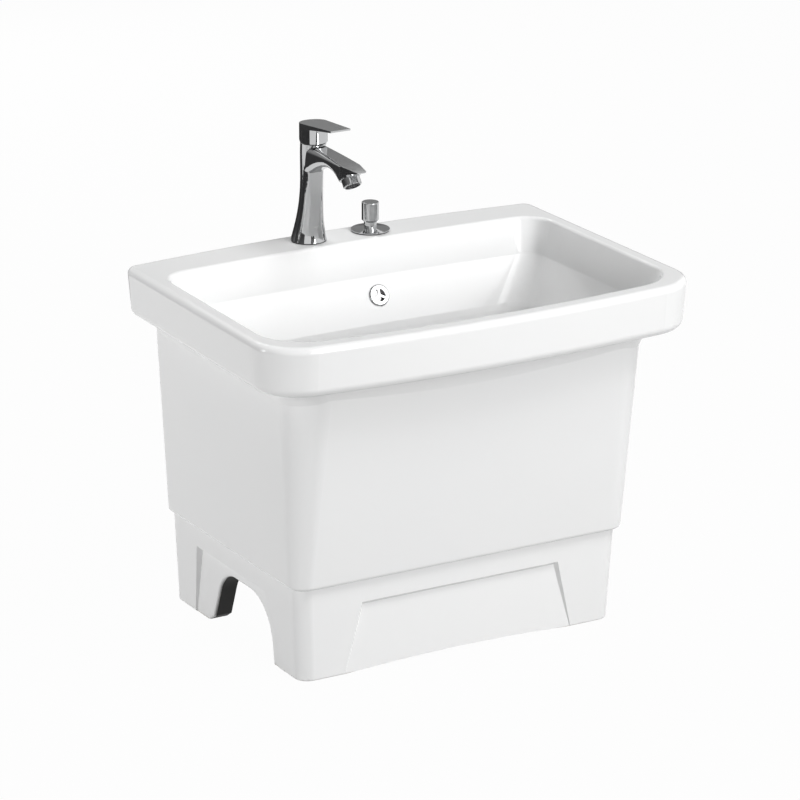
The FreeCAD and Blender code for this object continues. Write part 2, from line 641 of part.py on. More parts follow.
def cast_outside(body):
    """Stack the rim, the tapered body and the plinth."""
    rim_foot = "basin_height - rim_band"
    rim = [rim_plan(body, "basin_height", "0"), rim_plan(body, rim_foot, "rim_lean")]
    loft(body, "AdditiveLoft", rim, True)
    soften(body, "Fillet", "rim_top_round", lambda edge: level(edge, "basin_height"))
    soften(body, "Fillet", "rim_foot_round", lambda edge: level(edge, rim_foot))
    stack(body, (
        (f"{rim_foot} + rim_foot_round", "body_top_width/2", "-body_top_front", "body_top_corner"),
        ("plinth_height", "body_foot_width/2", "-body_foot_front", "body_foot_corner"),
    ), "body_back_corner")
    cove(body)
    soften(body, "Fillet", "body_foot_round", lambda edge: level(edge, "plinth_height"))
    stack(body, (
        ("plinth_height + body_foot_round", "body_foot_width/2 - plinth_inset", "-body_foot_front + plinth_inset",
         "body_foot_corner - plinth_inset/2"),
        ("0", "body_foot_width/2 - plinth_inset - plinth_taper", "-body_foot_front + plinth_inset + plinth_taper",
         "body_foot_corner - plinth_inset/2"),
    ), "body_back_corner")
    soften(body, "Fillet", "plinth_foot_round", lambda edge: level(edge, "0"))


HOLLOW_HALF = "(body_foot_width/2 - plinth_inset - plinth_taper - plinth_wall)"
SIDE_FACE = "(body_foot_width/2 - plinth_inset - plinth_taper/2 - side_panel_sink)"
BACK_SLOPE = "(shoulder_back_inset/(shoulder_depth - crease_depth))"
# The back wall's bow brings it forward under the outer edge of the overflow ring
OVERFLOW_BOW = "1.1*mouth_back_bow*((overflow_x + overflow_ring/2)/(rim_back_width/2 - mouth_side_land))^2"
OVERFLOW_Y = f"(mouth_back - crease_inset - {BACK_SLOPE}*(overflow_depth - crease_depth) - {OVERFLOW_BOW})"


def hollow_back(body):
    """Open the back: the space in the plinth, behind the bowl and under the deck."""
    under_bowl = "floor_level - floor_thickness"
    past_back = "body_back + 1"
    front = "-body_foot_front + plinth_inset + plinth_taper + plinth_wall"
    prism(body, "Pocket", "XY_Plane", [
        (f"-{HOLLOW_HALF}", front),
        (HOLLOW_HALF, front),
        (HOLLOW_HALF, past_back),
        (f"-{HOLLOW_HALF}", past_back),
    ], under_bowl, reverse=True)
    crease = "mouth_back - crease_inset"
    rim_foot = "basin_height - rim_band"
    prism(body, "Pocket", "YZ_Plane", [
        (f"{crease} - shoulder_back_inset - bowl_back_lean + back_wall", f"{under_bowl} - 1"),
        (past_back, f"{under_bowl} - 1"),
        (past_back, rim_foot),
        ("mouth_back + back_wall + 1", rim_foot),
        ("mouth_back + back_wall + 1", "basin_height - deck_thickness"),
        ("mouth_back + back_wall", "basin_height - deck_thickness"),
        (f"{crease} + back_wall", "basin_height - crease_depth"),
        (f"{crease} - shoulder_back_inset + back_wall", "basin_height - shoulder_depth"),
    ], f"2*{HOLLOW_HALF}", both=True)
    curtain_face = "rim_depth/2 - curtain"
    corner = f"{curtain_face} - rim_bow*({HOLLOW_HALF}/(rim_back_width/2))^2*1.2"
    prism(body, "Pocket", "XY_Plane", [
        (f"-{HOLLOW_HALF}", "mouth_back + back_wall"),
        (HOLLOW_HALF, "mouth_back + back_wall"),
        (HOLLOW_HALF, corner),
        (f"{HOLLOW_HALF}/2", curtain_face),
        (f"-{HOLLOW_HALF}/2", curtain_face),
        (f"-{HOLLOW_HALF}", corner),
    ], "rim_band - deck_thickness + 1", offset="basin_height - rim_band - 1", reverse=True)


def in_arch(edge):
    """Tell whether an edge runs round a side arch in the face of its recess."""
    box = edge.BoundBox
    spot = middle(edge)
    rise = spot.z / number("panel_height")
    behind = number("side_panel_front") - number("side_panel_rake") * rise + spot.y > 2
    before = number("side_panel_back") - number("side_panel_slant") * rise - spot.y > 2
    in_face = box.XLength < 0.05 and near(abs(spot.x), SIDE_FACE)
    return in_face and behind and before and 1 < spot.z < number("panel_height") - 1


def plinth_openings(body):
    """Sink the recesses into the plinth's front and sides and cut the side arches."""
    front = "body_foot_front - plinth_inset - front_panel_sink"
    prism(body, "Pocket", "XZ_Plane", [
        ("-front_panel_foot_width/2", "0"),
        ("front_panel_foot_width/2", "0"),
        ("front_panel_foot_width/2 - front_panel_slant", "panel_height"),
        ("-front_panel_foot_width/2 + front_panel_slant", "panel_height"),
    ], "front_panel_sink + plinth_inset", offset=front, reverse=True, taper="panel_taper")
    slope = f"({BOW_TIP}*front_arch/(front_panel_foot_width/2))"
    prism(body, "Pocket", "XZ_Plane", [
        ("-front_panel_foot_width/2", "0"),
        ("front_panel_foot_width/2", "0"),
        ("0", f"{BOW_TIP}*front_arch", f"{BOW_SHARE}*(front_panel_foot_width/2)/{slope}"),
    ], "plinth_inset + plinth_taper + plinth_wall + 1", offset="body_foot_front")
    for side in (1, -1):
        prism(body, "Pocket", "YZ_Plane", [
            ("-side_panel_front", "0"),
            ("side_panel_back", "0"),
            ("side_panel_back - side_panel_slant", "panel_height"),
            ("-side_panel_front + side_panel_rake", "panel_height"),
        ], "side_panel_sink + plinth_inset", offset=f"{side}*{SIDE_FACE}", reverse=side > 0, taper="panel_taper")
    prism(body, "Pocket", "YZ_Plane", [
        ("-arch_front", "0"),
        ("arch_back + arch_flare", "0"),
        ("arch_back - arch_flare/2", "arch_flare"),
        ("arch_back - arch_back_lean", "arch_height", "arch_back_round"),
        ("-arch_front + arch_front_lean", "arch_height", "arch_front_round"),
    ], "body_foot_width", both=True)
    soften(body, "Fillet", "arch_edge", in_arch)


def drill_ceramic(body):
    """Drill the deck, the bowl's bottom and its back wall."""
    for place, diameter in (("tap_x", "tap_hole"), ("knob_x", "knob_hole")):
        disc(body, "Pocket", "XY_Plane", [diameter], "deck_thickness + 1", "basin_height", (place, "hole_y"))
    disc(body, "Pocket", "XY_Plane", ["drain_hole"], "floor_thickness + 1", "floor_level", ("0", "drain_y"))
    sketch = new_sketch(body, "XZ_Plane", f"-{OVERFLOW_Y}", ("overflow_x", "basin_height - overflow_depth"),
                        (LEFT, f"atan({BACK_SLOPE})"))
    circle(sketch, "overflow_hole")
    extrude(body, "Pocket", sketch, "2*back_wall")


def ceramic_basin():
    """Cast the rim, bowl, body and plinth as one hollow-backed piece."""
    body = new_body("ceramic_basin")
    cast_outside(body)
    plans = bowl_plans(body)
    for upper_plan, lower_plan in zip(plans, plans[1:]):
        loft(body, "SubtractiveLoft", [upper_plan, lower_plan], True)
    soften(body, "Fillet", "mouth_round", lambda edge: level(edge, "basin_height") and in_mouth(middle(edge)))
    soften(body, "Fillet", "bowl_floor_round", lambda edge: level(edge, "floor_level"))
    soften(body, "Fillet", "shoulder_round", lambda edge: level(edge, "basin_height - shoulder_depth"))
    soften(body, "Fillet", "crease_round", lambda edge: level(edge, "basin_height - crease_depth"))
    hollow_back(body)
    plinth_openings(body)
    drill_ceramic(body)


# Tap

TAP = ("tap_x", "hole_y", "basin_height + gasket")
TAP_DECK = ("tap_x", "hole_y", "basin_height")
TAP_UNDER = ("tap_x", "hole_y", "basin_height - deck_thickness")
LEVER = ("tap_x", "hole_y - tap_lean", "basin_height + gasket + tap_height")
OUTLET = ("tap_x", "hole_y - spout_reach", "basin_height + gasket + outlet_height")
SCREWED = "2*assembly_fit"
SCREW_HEIGHT = "pivot_rise + stem_length - 4"
PLUG_SEAT = "cap_diameter/2 - lever_plug_length"


def tap_column(body):
    """Loft the leaning column from its round foot to the lever's seat and flatten its front."""
    column = []
    for height, diameter, forward in (
        ("tap_height", "cap_diameter - 2.5", "tap_lean"),
        ("tap_height*0.73", "tap_waist", "tap_lean*0.66"),
        ("tap_height*0.48", "tap_waist + 0.5", "tap_lean*0.55"),
        ("tap_height*0.2", "tap_waist + 6.5", "tap_lean*0.2"),
        ("0", "tap_base", "0"),
    ):
        sketch = new_sketch(body, "XY_Plane", height)
        circle(sketch, diameter, "0", f"-{forward}")
        column.append(sketch)
    loft(body, "AdditiveLoft", column, False)
    prism(body, "Pocket", "YZ_Plane", [
        ("-tap_base", "2"),
        ("-tap_base/2 - 1", "2"),
        ("-tap_facet", "tap_height*0.16", "tap_base/2"),
        ("-tap_facet", "spout_root + 20"),
        ("-tap_base", "spout_root + 20"),
    ], "tap_base", both=True)


def spout_section(body, place, half, low, high):
    """Sketch a section across the spout from heights and roundings of its underside and its top."""
    forward, height, tilt = place
    sketch = new_sketch(body, "XZ_Plane", forward, ("0", height), (RIGHT, tilt))
    outline(sketch, [(f"-({half})", *low), (half, *low), (half, *high), (f"-({half})", *high)])
    return sketch


def tap_spout(body):
    """Loft the spout from a round root in the column to its tilted outlet and add its flat, tapering nose."""
    middle_top = "(tap_height - spout_slope*(spout_middle - tap_lean))"
    wide = "spout_width/2"
    narrow = "spout_tip_width/2"
    sections = [
        spout_section(
            body, ("tap_lean", "0", "0"), wide,
            ("spout_root", f"0.6*{wide}"), ("tap_height", f"0.9*{wide}")),
        spout_section(
            body, ("spout_middle", "0", "0"), narrow,
            (f"{middle_top} - spout_middle_height", f"0.6*{narrow}"), (middle_top, f"0.4*{narrow}")),
        spout_section(
            body, ("spout_reach", "outlet_height", "90 - outlet_tilt"), narrow,
            ("-spout_heel", f"0.9*{narrow}"), ("spout_lip", f"0.1*{narrow}")),
    ]
    loft(body, "AdditiveLoft", sections, False)
    collar_y = "(spout_reach + spout_heel*cos(outlet_tilt))"
    prism(body, "Pad", "YZ_Plane", [
        (f"-{collar_y}", "outlet_height + spout_heel*sin(outlet_tilt)"),
        ("-spout_nose", "tap_height - spout_drop - spout_edge"),
        ("-spout_nose", "tap_height - spout_drop"),
        (f"-{collar_y}", f"tap_height - spout_slope*({collar_y} - tap_lean)"),
    ], "spout_tip_width", both=True)
    trim = new_sketch(body, "XY_Plane", "spout_root - 5")
    outline(trim, oblong("spout_width", "-spout_nose - 20", "tap_base"))
    outline(trim, [
        ("-spout_tip_width/4", "-spout_nose + 0.2", "spout_corner"),
        ("spout_tip_width/4", "-spout_nose + 0.2", "spout_corner"),
        (narrow, "-spout_reach + 4", "6*spout_corner"),
        ("tap_base/2", "tap_base/2"),
        ("-tap_base/2", "tap_base/2"),
        (f"-{narrow}", "-spout_reach + 4", "6*spout_corner"),
    ])
    extrude(body, "Pocket", trim, reverse=True)


def tap_body():
    """Cast the column and spout and drill them for the cartridge, aerator, hoses and stud."""
    body = new_body("tap_body", *TAP)
    tap_column(body)
    tap_spout(body)
    axis = ("0", "-tap_lean")
    nut_bore = f"cartridge_nut_diameter + {SCREWED}"
    disc(body, "Pocket", "XY_Plane", [nut_bore], "cartridge_nut_grip", "tap_height", axis)
    chamber = f"cartridge_diameter + {SCREWED}"
    disc(body, "Pocket", "XY_Plane", [chamber], "cartridge_nut_grip + cartridge_length", "tap_height", axis)
    mouth = new_sketch(body, "XY_Plane", "outlet_height", ("0", "-spout_reach"), (LEFT, "outlet_tilt"))
    circle(mouth, f"aerator_thread + {SCREWED}")
    extrude(body, "Pocket", mouth, "aerator_depth", reverse=True)
    for side in ("-", ""):
        inlet = (f"{side}inlet_spread", "-inlet_forward")
        disc(body, "Pocket", "XY_Plane", ["inlet_thread"], "inlet_depth", centre=inlet, reverse=True)
    stud_bore = f"stud_diameter + {SCREWED}"
    disc(body, "Pocket", "XY_Plane", [stud_bore], "stud_grip", centre=("0", "stud_back"), reverse=True)


def cartridge():
    """Make the cartridge housing, its turning turret, the tilting stem on its pin and the nut."""
    seat = "-cartridge_nut_grip"
    pocket_floor = f"{seat} - turret_flange_height - side_gap"
    pocket = "turret_flange/2 + side_gap/2"
    turned("cartridge_body", [
        ("0", f"{seat} - cartridge_length"),
        ("cartridge_diameter/2", f"{seat} - cartridge_length"),
        ("cartridge_diameter/2", seat),
        (pocket, seat),
        (pocket, pocket_floor),
        ("0", pocket_floor),
    ], LEVER)
    flange_foot = f"{seat} - turret_flange_height - side_gap/2"
    turret = turned("cartridge_turret", [
        ("0", flange_foot),
        ("turret_flange/2", flange_foot),
        ("turret_flange/2", f"{seat} - side_gap/2"),
        ("turret_diameter/2", f"{seat} - side_gap/2"),
        ("turret_diameter/2", "turret_rise"),
        ("0", "turret_rise"),
    ], LEVER)
    slot = oblong("stem_tongue/2 + side_gap/2", "-slot_length/2", "slot_length/2")
    slot_depth = "turret_rise - pivot_rise + stem_tongue_length + 1.5"
    prism(turret, "Pocket", "XY_Plane", slot, slot_depth, "turret_rise")
    pivot = ("0", "pivot_rise")
    disc(turret, "Pocket", "YZ_Plane", ["stem_pin + 2*running_fit"], centre=pivot, both=True)
    stem = new_body("cartridge_stem", *LEVER)
    tongue = oblong("stem_tongue/2", "-stem_tongue/2", "stem_tongue/2")
    prism(stem, "Pad", "XY_Plane", tongue, "stem_tongue_length + stem_neck", "pivot_rise - stem_tongue_length")
    square = oblong("stem_square/2", "-stem_square/2", "stem_square/2")
    prism(stem, "Pad", "XY_Plane", square, "stem_length - stem_neck", "pivot_rise + stem_neck")
    disc(stem, "Pocket", "YZ_Plane", [f"stem_pin + {SCREWED}"], centre=pivot, both=True)
    pin = new_body("cartridge_pin", *LEVER)
    disc(pin, "Pad", "YZ_Plane", ["stem_pin"], "turret_diameter - 2*side_gap", centre=pivot, both=True)
    turned("cartridge_nut", [
        ("turret_diameter/2 + side_gap", seat),
        ("cartridge_nut_diameter/2", seat),
        ("cartridge_nut_diameter/2", "0"),
        ("cartridge_nut_head/2", "0"),
        ("cartridge_nut_head/2", "cartridge_nut_rise"),
        ("turret_diameter/2 + side_gap", "cartridge_nut_rise"),
    ], LEVER)


def lever_top(forward):
    """Return the height of the lever's sloping top at a distance in front of its axis."""
    slope = "(paddle_top - lever_gap - cap_height)/(paddle_reach + cap_diameter/2)"
    return f"(lever_gap + cap_height + {slope}*({forward} + cap_diameter/2))"


def lever_handle():
    """Make the lever: a round hollow cap that runs out into a flat paddle."""
    body = new_body("lever_handle", *LEVER)
    disc(body, "Pad", "XY_Plane", ["cap_diameter"], "paddle_top - lever_gap", "lever_gap")
    paddle = []
    for forward, height in (
        ("0", "paddle_root_height"),
        ("paddle_middle", "paddle_middle_height"),
        ("paddle_reach", "paddle_tip"),
    ):
        half = f"(cap_diameter - (cap_diameter - paddle_tip_width)*({forward})/paddle_reach)/2"
        top = lever_top(forward)
        sketch = new_sketch(body, "XZ_Plane", forward)
        outline(sketch, oblong(half, f"{top} - {height}", f"{top} + 0.5"))
        paddle.append(sketch)
    loft(body, "AdditiveLoft", paddle, False)
    prism(body, "Pocket", "YZ_Plane", [
        ("-paddle_reach - 5", lever_top("paddle_reach + 5")),
        ("cap_diameter", lever_top("-cap_diameter")),
        ("cap_diameter", "2*paddle_top"),
        ("-paddle_reach - 5", "2*paddle_top"),
    ], "2*cap_diameter", both=True)
    hollow = "cap_diameter - 2*cap_wall"
    disc(body, "Pocket", "XY_Plane", [hollow], "cap_cavity", "lever_gap", reverse=True)
    socket_half = "stem_square/2 + assembly_fit"
    socket = oblong(socket_half, f"-({socket_half})", socket_half)
    socket_depth = "pivot_rise + stem_length + side_gap - lever_gap - cap_cavity"
    prism(body, "Pocket", "XY_Plane", socket, socket_depth, "lever_gap + cap_cavity", reverse=True)
    prism(body, "Pocket", "YZ_Plane", [
        ("cap_bevel_start - 1/tan(cap_bevel)", "lever_gap - 1"),
        ("cap_diameter", "lever_gap - 1"),
        ("cap_diameter", "lever_gap + (cap_diameter - cap_bevel_start)*tan(cap_bevel)"),
    ], "2*cap_diameter", both=True)
    centre = ("0", SCREW_HEIGHT)
    disc(body, "Pocket", "XZ_Plane", [f"lever_screw + {SCREWED}"], "cap_diameter", centre=centre)
    disc(body, "Pocket", "XZ_Plane", [f"lever_plug + {SCREWED}"], "cap_diameter", f"-({PLUG_SEAT})", centre)


def lever_fixings():
    """Make the grub screw that holds the lever on the stem and the plug over it."""
    centre = ("0", SCREW_HEIGHT)
    screw = new_body("lever_set_screw", *LEVER)
    start = "-stem_square/2 - running_fit"
    disc(screw, "Pad", "XZ_Plane", ["lever_screw"], "lever_screw_length", start, centre, reverse=True)
    key = hexagon("lever_screw/2", SCREW_HEIGHT)
    key_end = f"{start} - lever_screw_length"
    prism(screw, "Pocket", "XZ_Plane", key, "lever_screw_length/3", key_end, reverse=True)
    plug = new_body("lever_screw_plug", *LEVER)
    plug_length = "lever_plug_length - side_gap"
    disc(plug, "Pad", "XZ_Plane", ["lever_plug"], plug_length, f"-({PLUG_SEAT})", centre, reverse=True)


def aerator():
    """Make the aerator's shell, its insert of fine holes and the washer behind it."""
    bore = "aerator_thread/2 - aerator_wall"
    cavity = "aerator_diameter/2 - aerator_wall"
    thread_end = "aerator_depth - aerator_seal"
    shell = turned("aerator_housing", [
        (cavity, "-aerator_length"),
        ("aerator_diameter/2 - 0.8", "-aerator_length"),
        ("aerator_diameter/2", "-aerator_length + 0.8"),
        ("aerator_diameter/2", "0"),
        ("aerator_thread/2", "0"),
        ("aerator_thread/2", thread_end),
        (bore, thread_end),
        (bore, "-aerator_wall"),
        (cavity, "-aerator_wall"),
    ], OUTLET)
    insert = new_body("aerator_insert", *OUTLET)
    face = new_sketch(insert, "XY_Plane", "-aerator_wall")
    circle(face, f"2*({cavity} - assembly_fit)")
    for along in range(-JET_RINGS, JET_RINGS + 1):
        for across in range(-JET_RINGS, JET_RINGS + 1):
            if abs(along + across) <= JET_RINGS:
                x = f"jet_spacing*{along + across / 2}"
                circle(face, "jet_hole", x, f"jet_spacing*{across}*sqrt(3)/2")
    extrude(insert, "Pad", face, "aerator_length - aerator_wall - 1", reverse=True)
    washer = ring("aerator_washer", "aerator_thread", f"2*({bore})", thread_end, "aerator_depth", OUTLET)
    for body in (shell, insert, washer):
        turn_body(body, LEFT, "outlet_tilt")


def horseshoe(label, top, thickness):
    """Make a horseshoe washer that leaves room for the hoses and holds the stud."""
    body = new_body(label, *TAP_UNDER)
    sketch = new_sketch(body, "XY_Plane", top)
    half, depth, slot = "horseshoe_width/2", "horseshoe_depth/2", "horseshoe_slot/2"
    outline(sketch, [
        (f"-{half}", f"-{depth}"),
        (f"-{slot}", f"-{depth}"),
        (f"-{slot}", "stud_back - stud_diameter", "stud_diameter"),
        (slot, "stud_back - stud_diameter", "stud_diameter"),
        (slot, f"-{depth}"),
        (half, f"-{depth}"),
        (half, depth, "stud_diameter"),
        (f"-{half}", depth, "stud_diameter"),
    ])
    circle(sketch, f"stud_diameter + {SCREWED}", "0", "stud_back")
    extrude(body, "Pad", sketch, thickness, reverse=True)


def tap_fixing():
    """Make the seal under the tap and the stud, washers and nut that pull it down."""
    ring("tap_base_gasket", "(tap_base - 1)", "(tap_hole + 1)", "0", "gasket", TAP_DECK)
    stud = new_body("tap_mounting_stud", *TAP)
    hang = "gasket + deck_thickness + stud_hang"
    stud_length = f"{hang} + stud_grip - side_gap"
    disc(stud, "Pad", "XY_Plane", ["stud_diameter"], stud_length, f"-({hang})", ("0", "stud_back"))
    horseshoe("tap_horseshoe_gasket", "0", "horseshoe_rubber")
    horseshoe("tap_horseshoe_plate", "-horseshoe_rubber", "horseshoe_plate")
    nut_foot = "-horseshoe_rubber - horseshoe_plate - stud_nut_height"
    place = ("tap_x", "hole_y + stud_back", TAP_UNDER[2])
    hex_nut("tap_mounting_nut", "stud_nut", f"stud_diameter + {SCREWED}", nut_foot, "stud_nut_height", place)


# Lift knob and its linkage

KNOB = ("knob_x", "hole_y", "basin_height")
DRAIN = ("0", "drain_y", "floor_level")
LINK_SPAN = "sqrt(knob_x^2 + (hole_y - drain_y)^2)"
LINK_TURN = "atan2(knob_x; hole_y - drain_y)"
ROD_REACH = f"({LINK_SPAN} - clevis_block/2 - strap_thickness/2 - pivot_arm)"
ROD_TILT = f"atan(lift_travel/2/{ROD_REACH})"
PLUG_TRAVEL = f"(lift_travel*pivot_arm/{ROD_REACH})"
PIVOT_HEIGHT = "floor_level - pivot_depth"


def knob_mount():
    """Make the knob's flange with its shank, seal, washer and nut."""
    ring("knob_flange_gasket", "(flange_diameter - 2)", "knob_hole", "0", "gasket", KNOB)
    bore = "rod_diameter/2 + running_fit"
    turned("knob_flange", [
        (bore, "gasket - shank_length"),
        ("shank_diameter/2", "gasket - shank_length"),
        ("shank_diameter/2", "gasket"),
        ("flange_diameter/2", "gasket"),
        ("flange_diameter/2", "gasket + flange_height/3"),
        ("collar_diameter/2 + flange_height", "gasket + flange_height", "2*flange_height"),
        ("collar_diameter/2", "gasket + flange_height"),
        ("collar_diameter/2", "gasket + collar_height"),
        (bore, "gasket + collar_height"),
    ], KNOB)
    thread = f"(shank_diameter + {SCREWED})"
    washer_foot = "-deck_thickness - shank_washer_height"
    ring("knob_shank_washer", "shank_washer", thread, washer_foot, "-deck_thickness", KNOB)
    hex_nut("knob_shank_nut", "shank_nut", thread, f"{washer_foot} - shank_nut_height", "shank_nut_height", KNOB)


def lift_knob():
    """Make the knob and the rod that hangs from it through the flange."""
    low = "gasket + collar_height + running_fit"
    socket = "rod_diameter/2 + assembly_fit"
    turned("lift_knob", [
        (socket, low),
        ("knob_diameter/2 - knob_chamfer", low),
        ("knob_diameter/2", f"{low} + knob_chamfer"),
        ("knob_diameter/2", f"{low} + knob_height", "knob_top_round"),
        ("0", f"{low} + knob_height"),
        ("0", f"{low} + knob_socket"),
        (socket, f"{low} + knob_socket"),
    ], KNOB)
    rod = new_body("lift_rod", "knob_x", "hole_y", "rod_foot")
    disc(rod, "Pad", "XY_Plane", ["rod_diameter"], f"basin_height + {low} + knob_socket - rod_foot")


def clevis():
    """Make the strap that hangs from the lift rod, and its clamping screw."""
    strap = new_body("clevis_strap", "knob_x", "hole_y", "0")
    turn_body(strap, DOWN, LINK_TURN)
    half = "clevis_block/2"
    block = new_sketch(strap, "XY_Plane", "clevis_block_foot")
    outline(block, oblong(half, f"-{half}", half))
    circle(block, f"rod_diameter + {SCREWED}")
    extrude(strap, "Pad", block, "clevis_block_height")
    strip = oblong("strap_width/2", f"-{half} - strap_thickness", f"-{half}")
    strip_length = "clevis_block_foot + clevis_block_height - strap_foot"
    prism(strap, "Pad", "XY_Plane", strip, strip_length, "strap_foot")
    for index in range(STRAP_HOLES):
        hole = ("0", f"{PIVOT_HEIGHT} - lift_travel/2 + {index}*strap_hole_pitch")
        disc(strap, "Pocket", "XZ_Plane", ["strap_hole"], centre=hole, both=True)
    centre = ("0", "clevis_block_foot + clevis_block_height/2")
    disc(strap, "Pocket", "XZ_Plane", [f"thumb_screw + {SCREWED}"], "clevis_block", centre=centre)
    screw = new_body("clevis_screw", "knob_x", "hole_y", "0")
    turn_body(screw, DOWN, LINK_TURN)
    start = "rod_diameter/2 + running_fit"
    disc(screw, "Pad", "XZ_Plane", ["thumb_screw"], f"{half} - rod_diameter/2 + side_gap", f"-({start})", centre,
         reverse=True)
    disc(screw, "Pad", "XZ_Plane", ["thumb_head"], "thumb_head_height", f"-{half} - assembly_fit", centre,
         reverse=True)


def pivot():
    """Make the rod that rocks on its ball, and the seal and nut that hold the ball in the port."""
    share = f"pivot_arm/{LINK_SPAN}"
    rod = new_body("pivot_rod", f"knob_x*{share}", f"drain_y + (hole_y - drain_y)*{share}", PIVOT_HEIGHT)
    turn_body(rod, DOWN, LINK_TURN)
    ball = rod.newObject("PartDesign::AdditiveSphere", "pivot_rod_ball")
    ball.setExpression("Radius", linked("pivot_ball/2"))
    shaft = new_sketch(rod, "YZ_Plane", turn=(UP, f"90 deg - {ROD_TILT}"))
    outer = f"-{ROD_REACH}/cos({ROD_TILT}) - pivot_rod_past"
    inner = f"pivot_arm/cos({ROD_TILT}) + pivot_rod_inside"
    outline(shaft, [("0", outer), ("pivot_rod/2", outer), ("pivot_rod/2", inner), ("0", inner)])
    spin(rod, "Revolution", shaft)
    seal = new_body("pivot_seal", "0", "drain_y", PIVOT_HEIGHT)
    seal_start = "pivot_arm + pivot_ball*0.31"
    disc(seal, "Pad", "XZ_Plane", [f"port_bore - {SCREWED}", "port_seat - 0.5"], f"port_length - ({seal_start})",
         f"-({seal_start})", reverse=True)
    nut = new_body("pivot_nut", "0", "drain_y", PIVOT_HEIGHT)
    skirt = "pivot_nut_length - pivot_nut_wall"
    disc(nut, "Pad", "XZ_Plane", ["pivot_nut", f"port_diameter + {SCREWED}"], skirt, f"-port_length + {skirt}",
         reverse=True)
    disc(nut, "Pad", "XZ_Plane", ["pivot_nut", "pivot_nut_hole"], "pivot_nut_wall", "-port_length", reverse=True)
    for body in (seal, nut):
        turn_body(body, DOWN, LINK_TURN)


# Drain

def drain_fixing():
    """Make the drain's flange, its seals and the nut that clamps it in the bowl."""
    foot = "-drain_tube_length"
    turned("drain_flange", [
        ("drain_bore/2", foot),
        ("drain_tube/2", foot),
        ("drain_tube/2", "gasket"),
        ("drain_flange/2", "gasket"),
        ("drain_flange/2", "gasket + drain_flange_height/2"),
        ("drain_flange/2 - drain_flange_height", "gasket + drain_flange_height"),
        ("drain_bore/2", "gasket + drain_flange_height"),
    ], DRAIN)
    thread = f"(drain_tube + {SCREWED})"
    ring("drain_flange_gasket", "(drain_flange - 3)", thread, "0", "gasket", DRAIN)
    seal_foot = "-floor_thickness - drain_under_seal"
    ring("drain_under_gasket", "drain_under_seal_width", thread, seal_foot, "-floor_thickness", DRAIN)
    hex_nut("drain_back_nut", "drain_nut", thread, f"{seal_foot} - drain_nut_height", "drain_nut_height", DRAIN)


def drain_pipe():
    """Make the drain body with the pivot's port, and the tailpiece under it."""
    step = "-drain_tube_length - side_gap"
    neck = f"{step} - (socket_diameter - drain_body_diameter)/2"
    tail_top = "-drain_body_foot + tail_grip"
    spigot = "tail_diameter/2 - tail_step"
    body = turned("drain_body", [
        (f"{spigot} + assembly_fit", "-drain_body_foot"),
        ("drain_body_diameter/2", "-drain_body_foot"),
        ("drain_body_diameter/2", f"{neck} - side_gap"),
        ("socket_diameter/2", step),
        ("socket_diameter/2", "-socket_top"),
        ("drain_tube/2 + assembly_fit", "-socket_top"),
        ("drain_tube/2 + assembly_fit", step),
        ("drain_body_bore/2", step),
        ("drain_body_bore/2", tail_top),
        (f"{spigot} + assembly_fit", tail_top),
    ], DRAIN)
    turn_body(body, DOWN, LINK_TURN)
    centre = ("0", "-pivot_depth")
    root = "drain_body_bore/2 + 0.5"
    disc(body, "Pad", "XZ_Plane", ["port_diameter"], f"port_length - ({root})", f"-({root})", centre, reverse=True)
    seat = "pivot_arm - pivot_ball*0.29"
    disc(body, "Pocket", "XZ_Plane", ["port_bore"], "port_length", f"-({seat})", centre)
    disc(body, "Pocket", "XZ_Plane", ["port_seat"], "port_length", centre=centre)
    turned("drain_tailpiece", [
        ("tail_diameter/2 - tail_wall", "-drain_body_foot - tail_length"),
        ("tail_diameter/2", "-drain_body_foot - tail_length"),
        ("tail_diameter/2", "-drain_body_foot - side_gap"),
        (spigot, "-drain_body_foot - side_gap"),
        (spigot, tail_top),
        ("tail_diameter/2 - tail_wall", tail_top),
    ], DRAIN)


def pop_up_plug():
    """Make the plug that the pivot rod lifts, and its seal."""
    low = f"gasket + drain_flange_height + plug_seal/3 + {PLUG_TRAVEL} + side_gap/2"
    groove = "drain_bore/2 + 0.7"
    groove_top = f"{low} + plug_seal*2/3"
    high = f"{low} + plug_cap_height"
    plug = turned("pop_up_plug", [
        ("0", low),
        (groove, low),
        (groove, groove_top),
        (f"{groove} + plug_seal", groove_top),
        (f"{groove} + plug_seal", low),
        ("plug_diameter/2", low),
        ("plug_diameter/2", f"{high} - 1.5", "1"),
        ("plug_diameter/2 - 8", high, "12"),
        ("0", high),
    ], DRAIN)
    turn_body(plug, DOWN, LINK_TURN)
    fin_half = "plug_stem/10"
    fin_foot = f"{low} - plug_skirt_height"
    for wide, deep in (("plug_skirt/2", fin_half), (fin_half, "plug_skirt/2")):
        prism(plug, "Pad", "XY_Plane", oblong(wide, f"-{deep}", deep), "plug_skirt_height + 0.5", fin_foot)
    eye = f"-pivot_depth + {PLUG_TRAVEL}/2"
    disc(plug, "Pad", "XY_Plane", ["plug_stem"], f"{low} - ({eye}) + plug_eye + 0.5", f"{eye} - plug_eye")
    slot = oblong("pivot_rod/2 + side_gap", f"{eye} - plug_eye/2", f"{eye} + plug_eye/2")
    prism(plug, "Pocket", "XZ_Plane", slot, both=True)
    seal = (f"2*({groove} + plug_seal - running_fit)", f"2*({groove} + running_fit)")
    ring("plug_seal", *seal, f"{low} - plug_seal/3", groove_top, DRAIN)


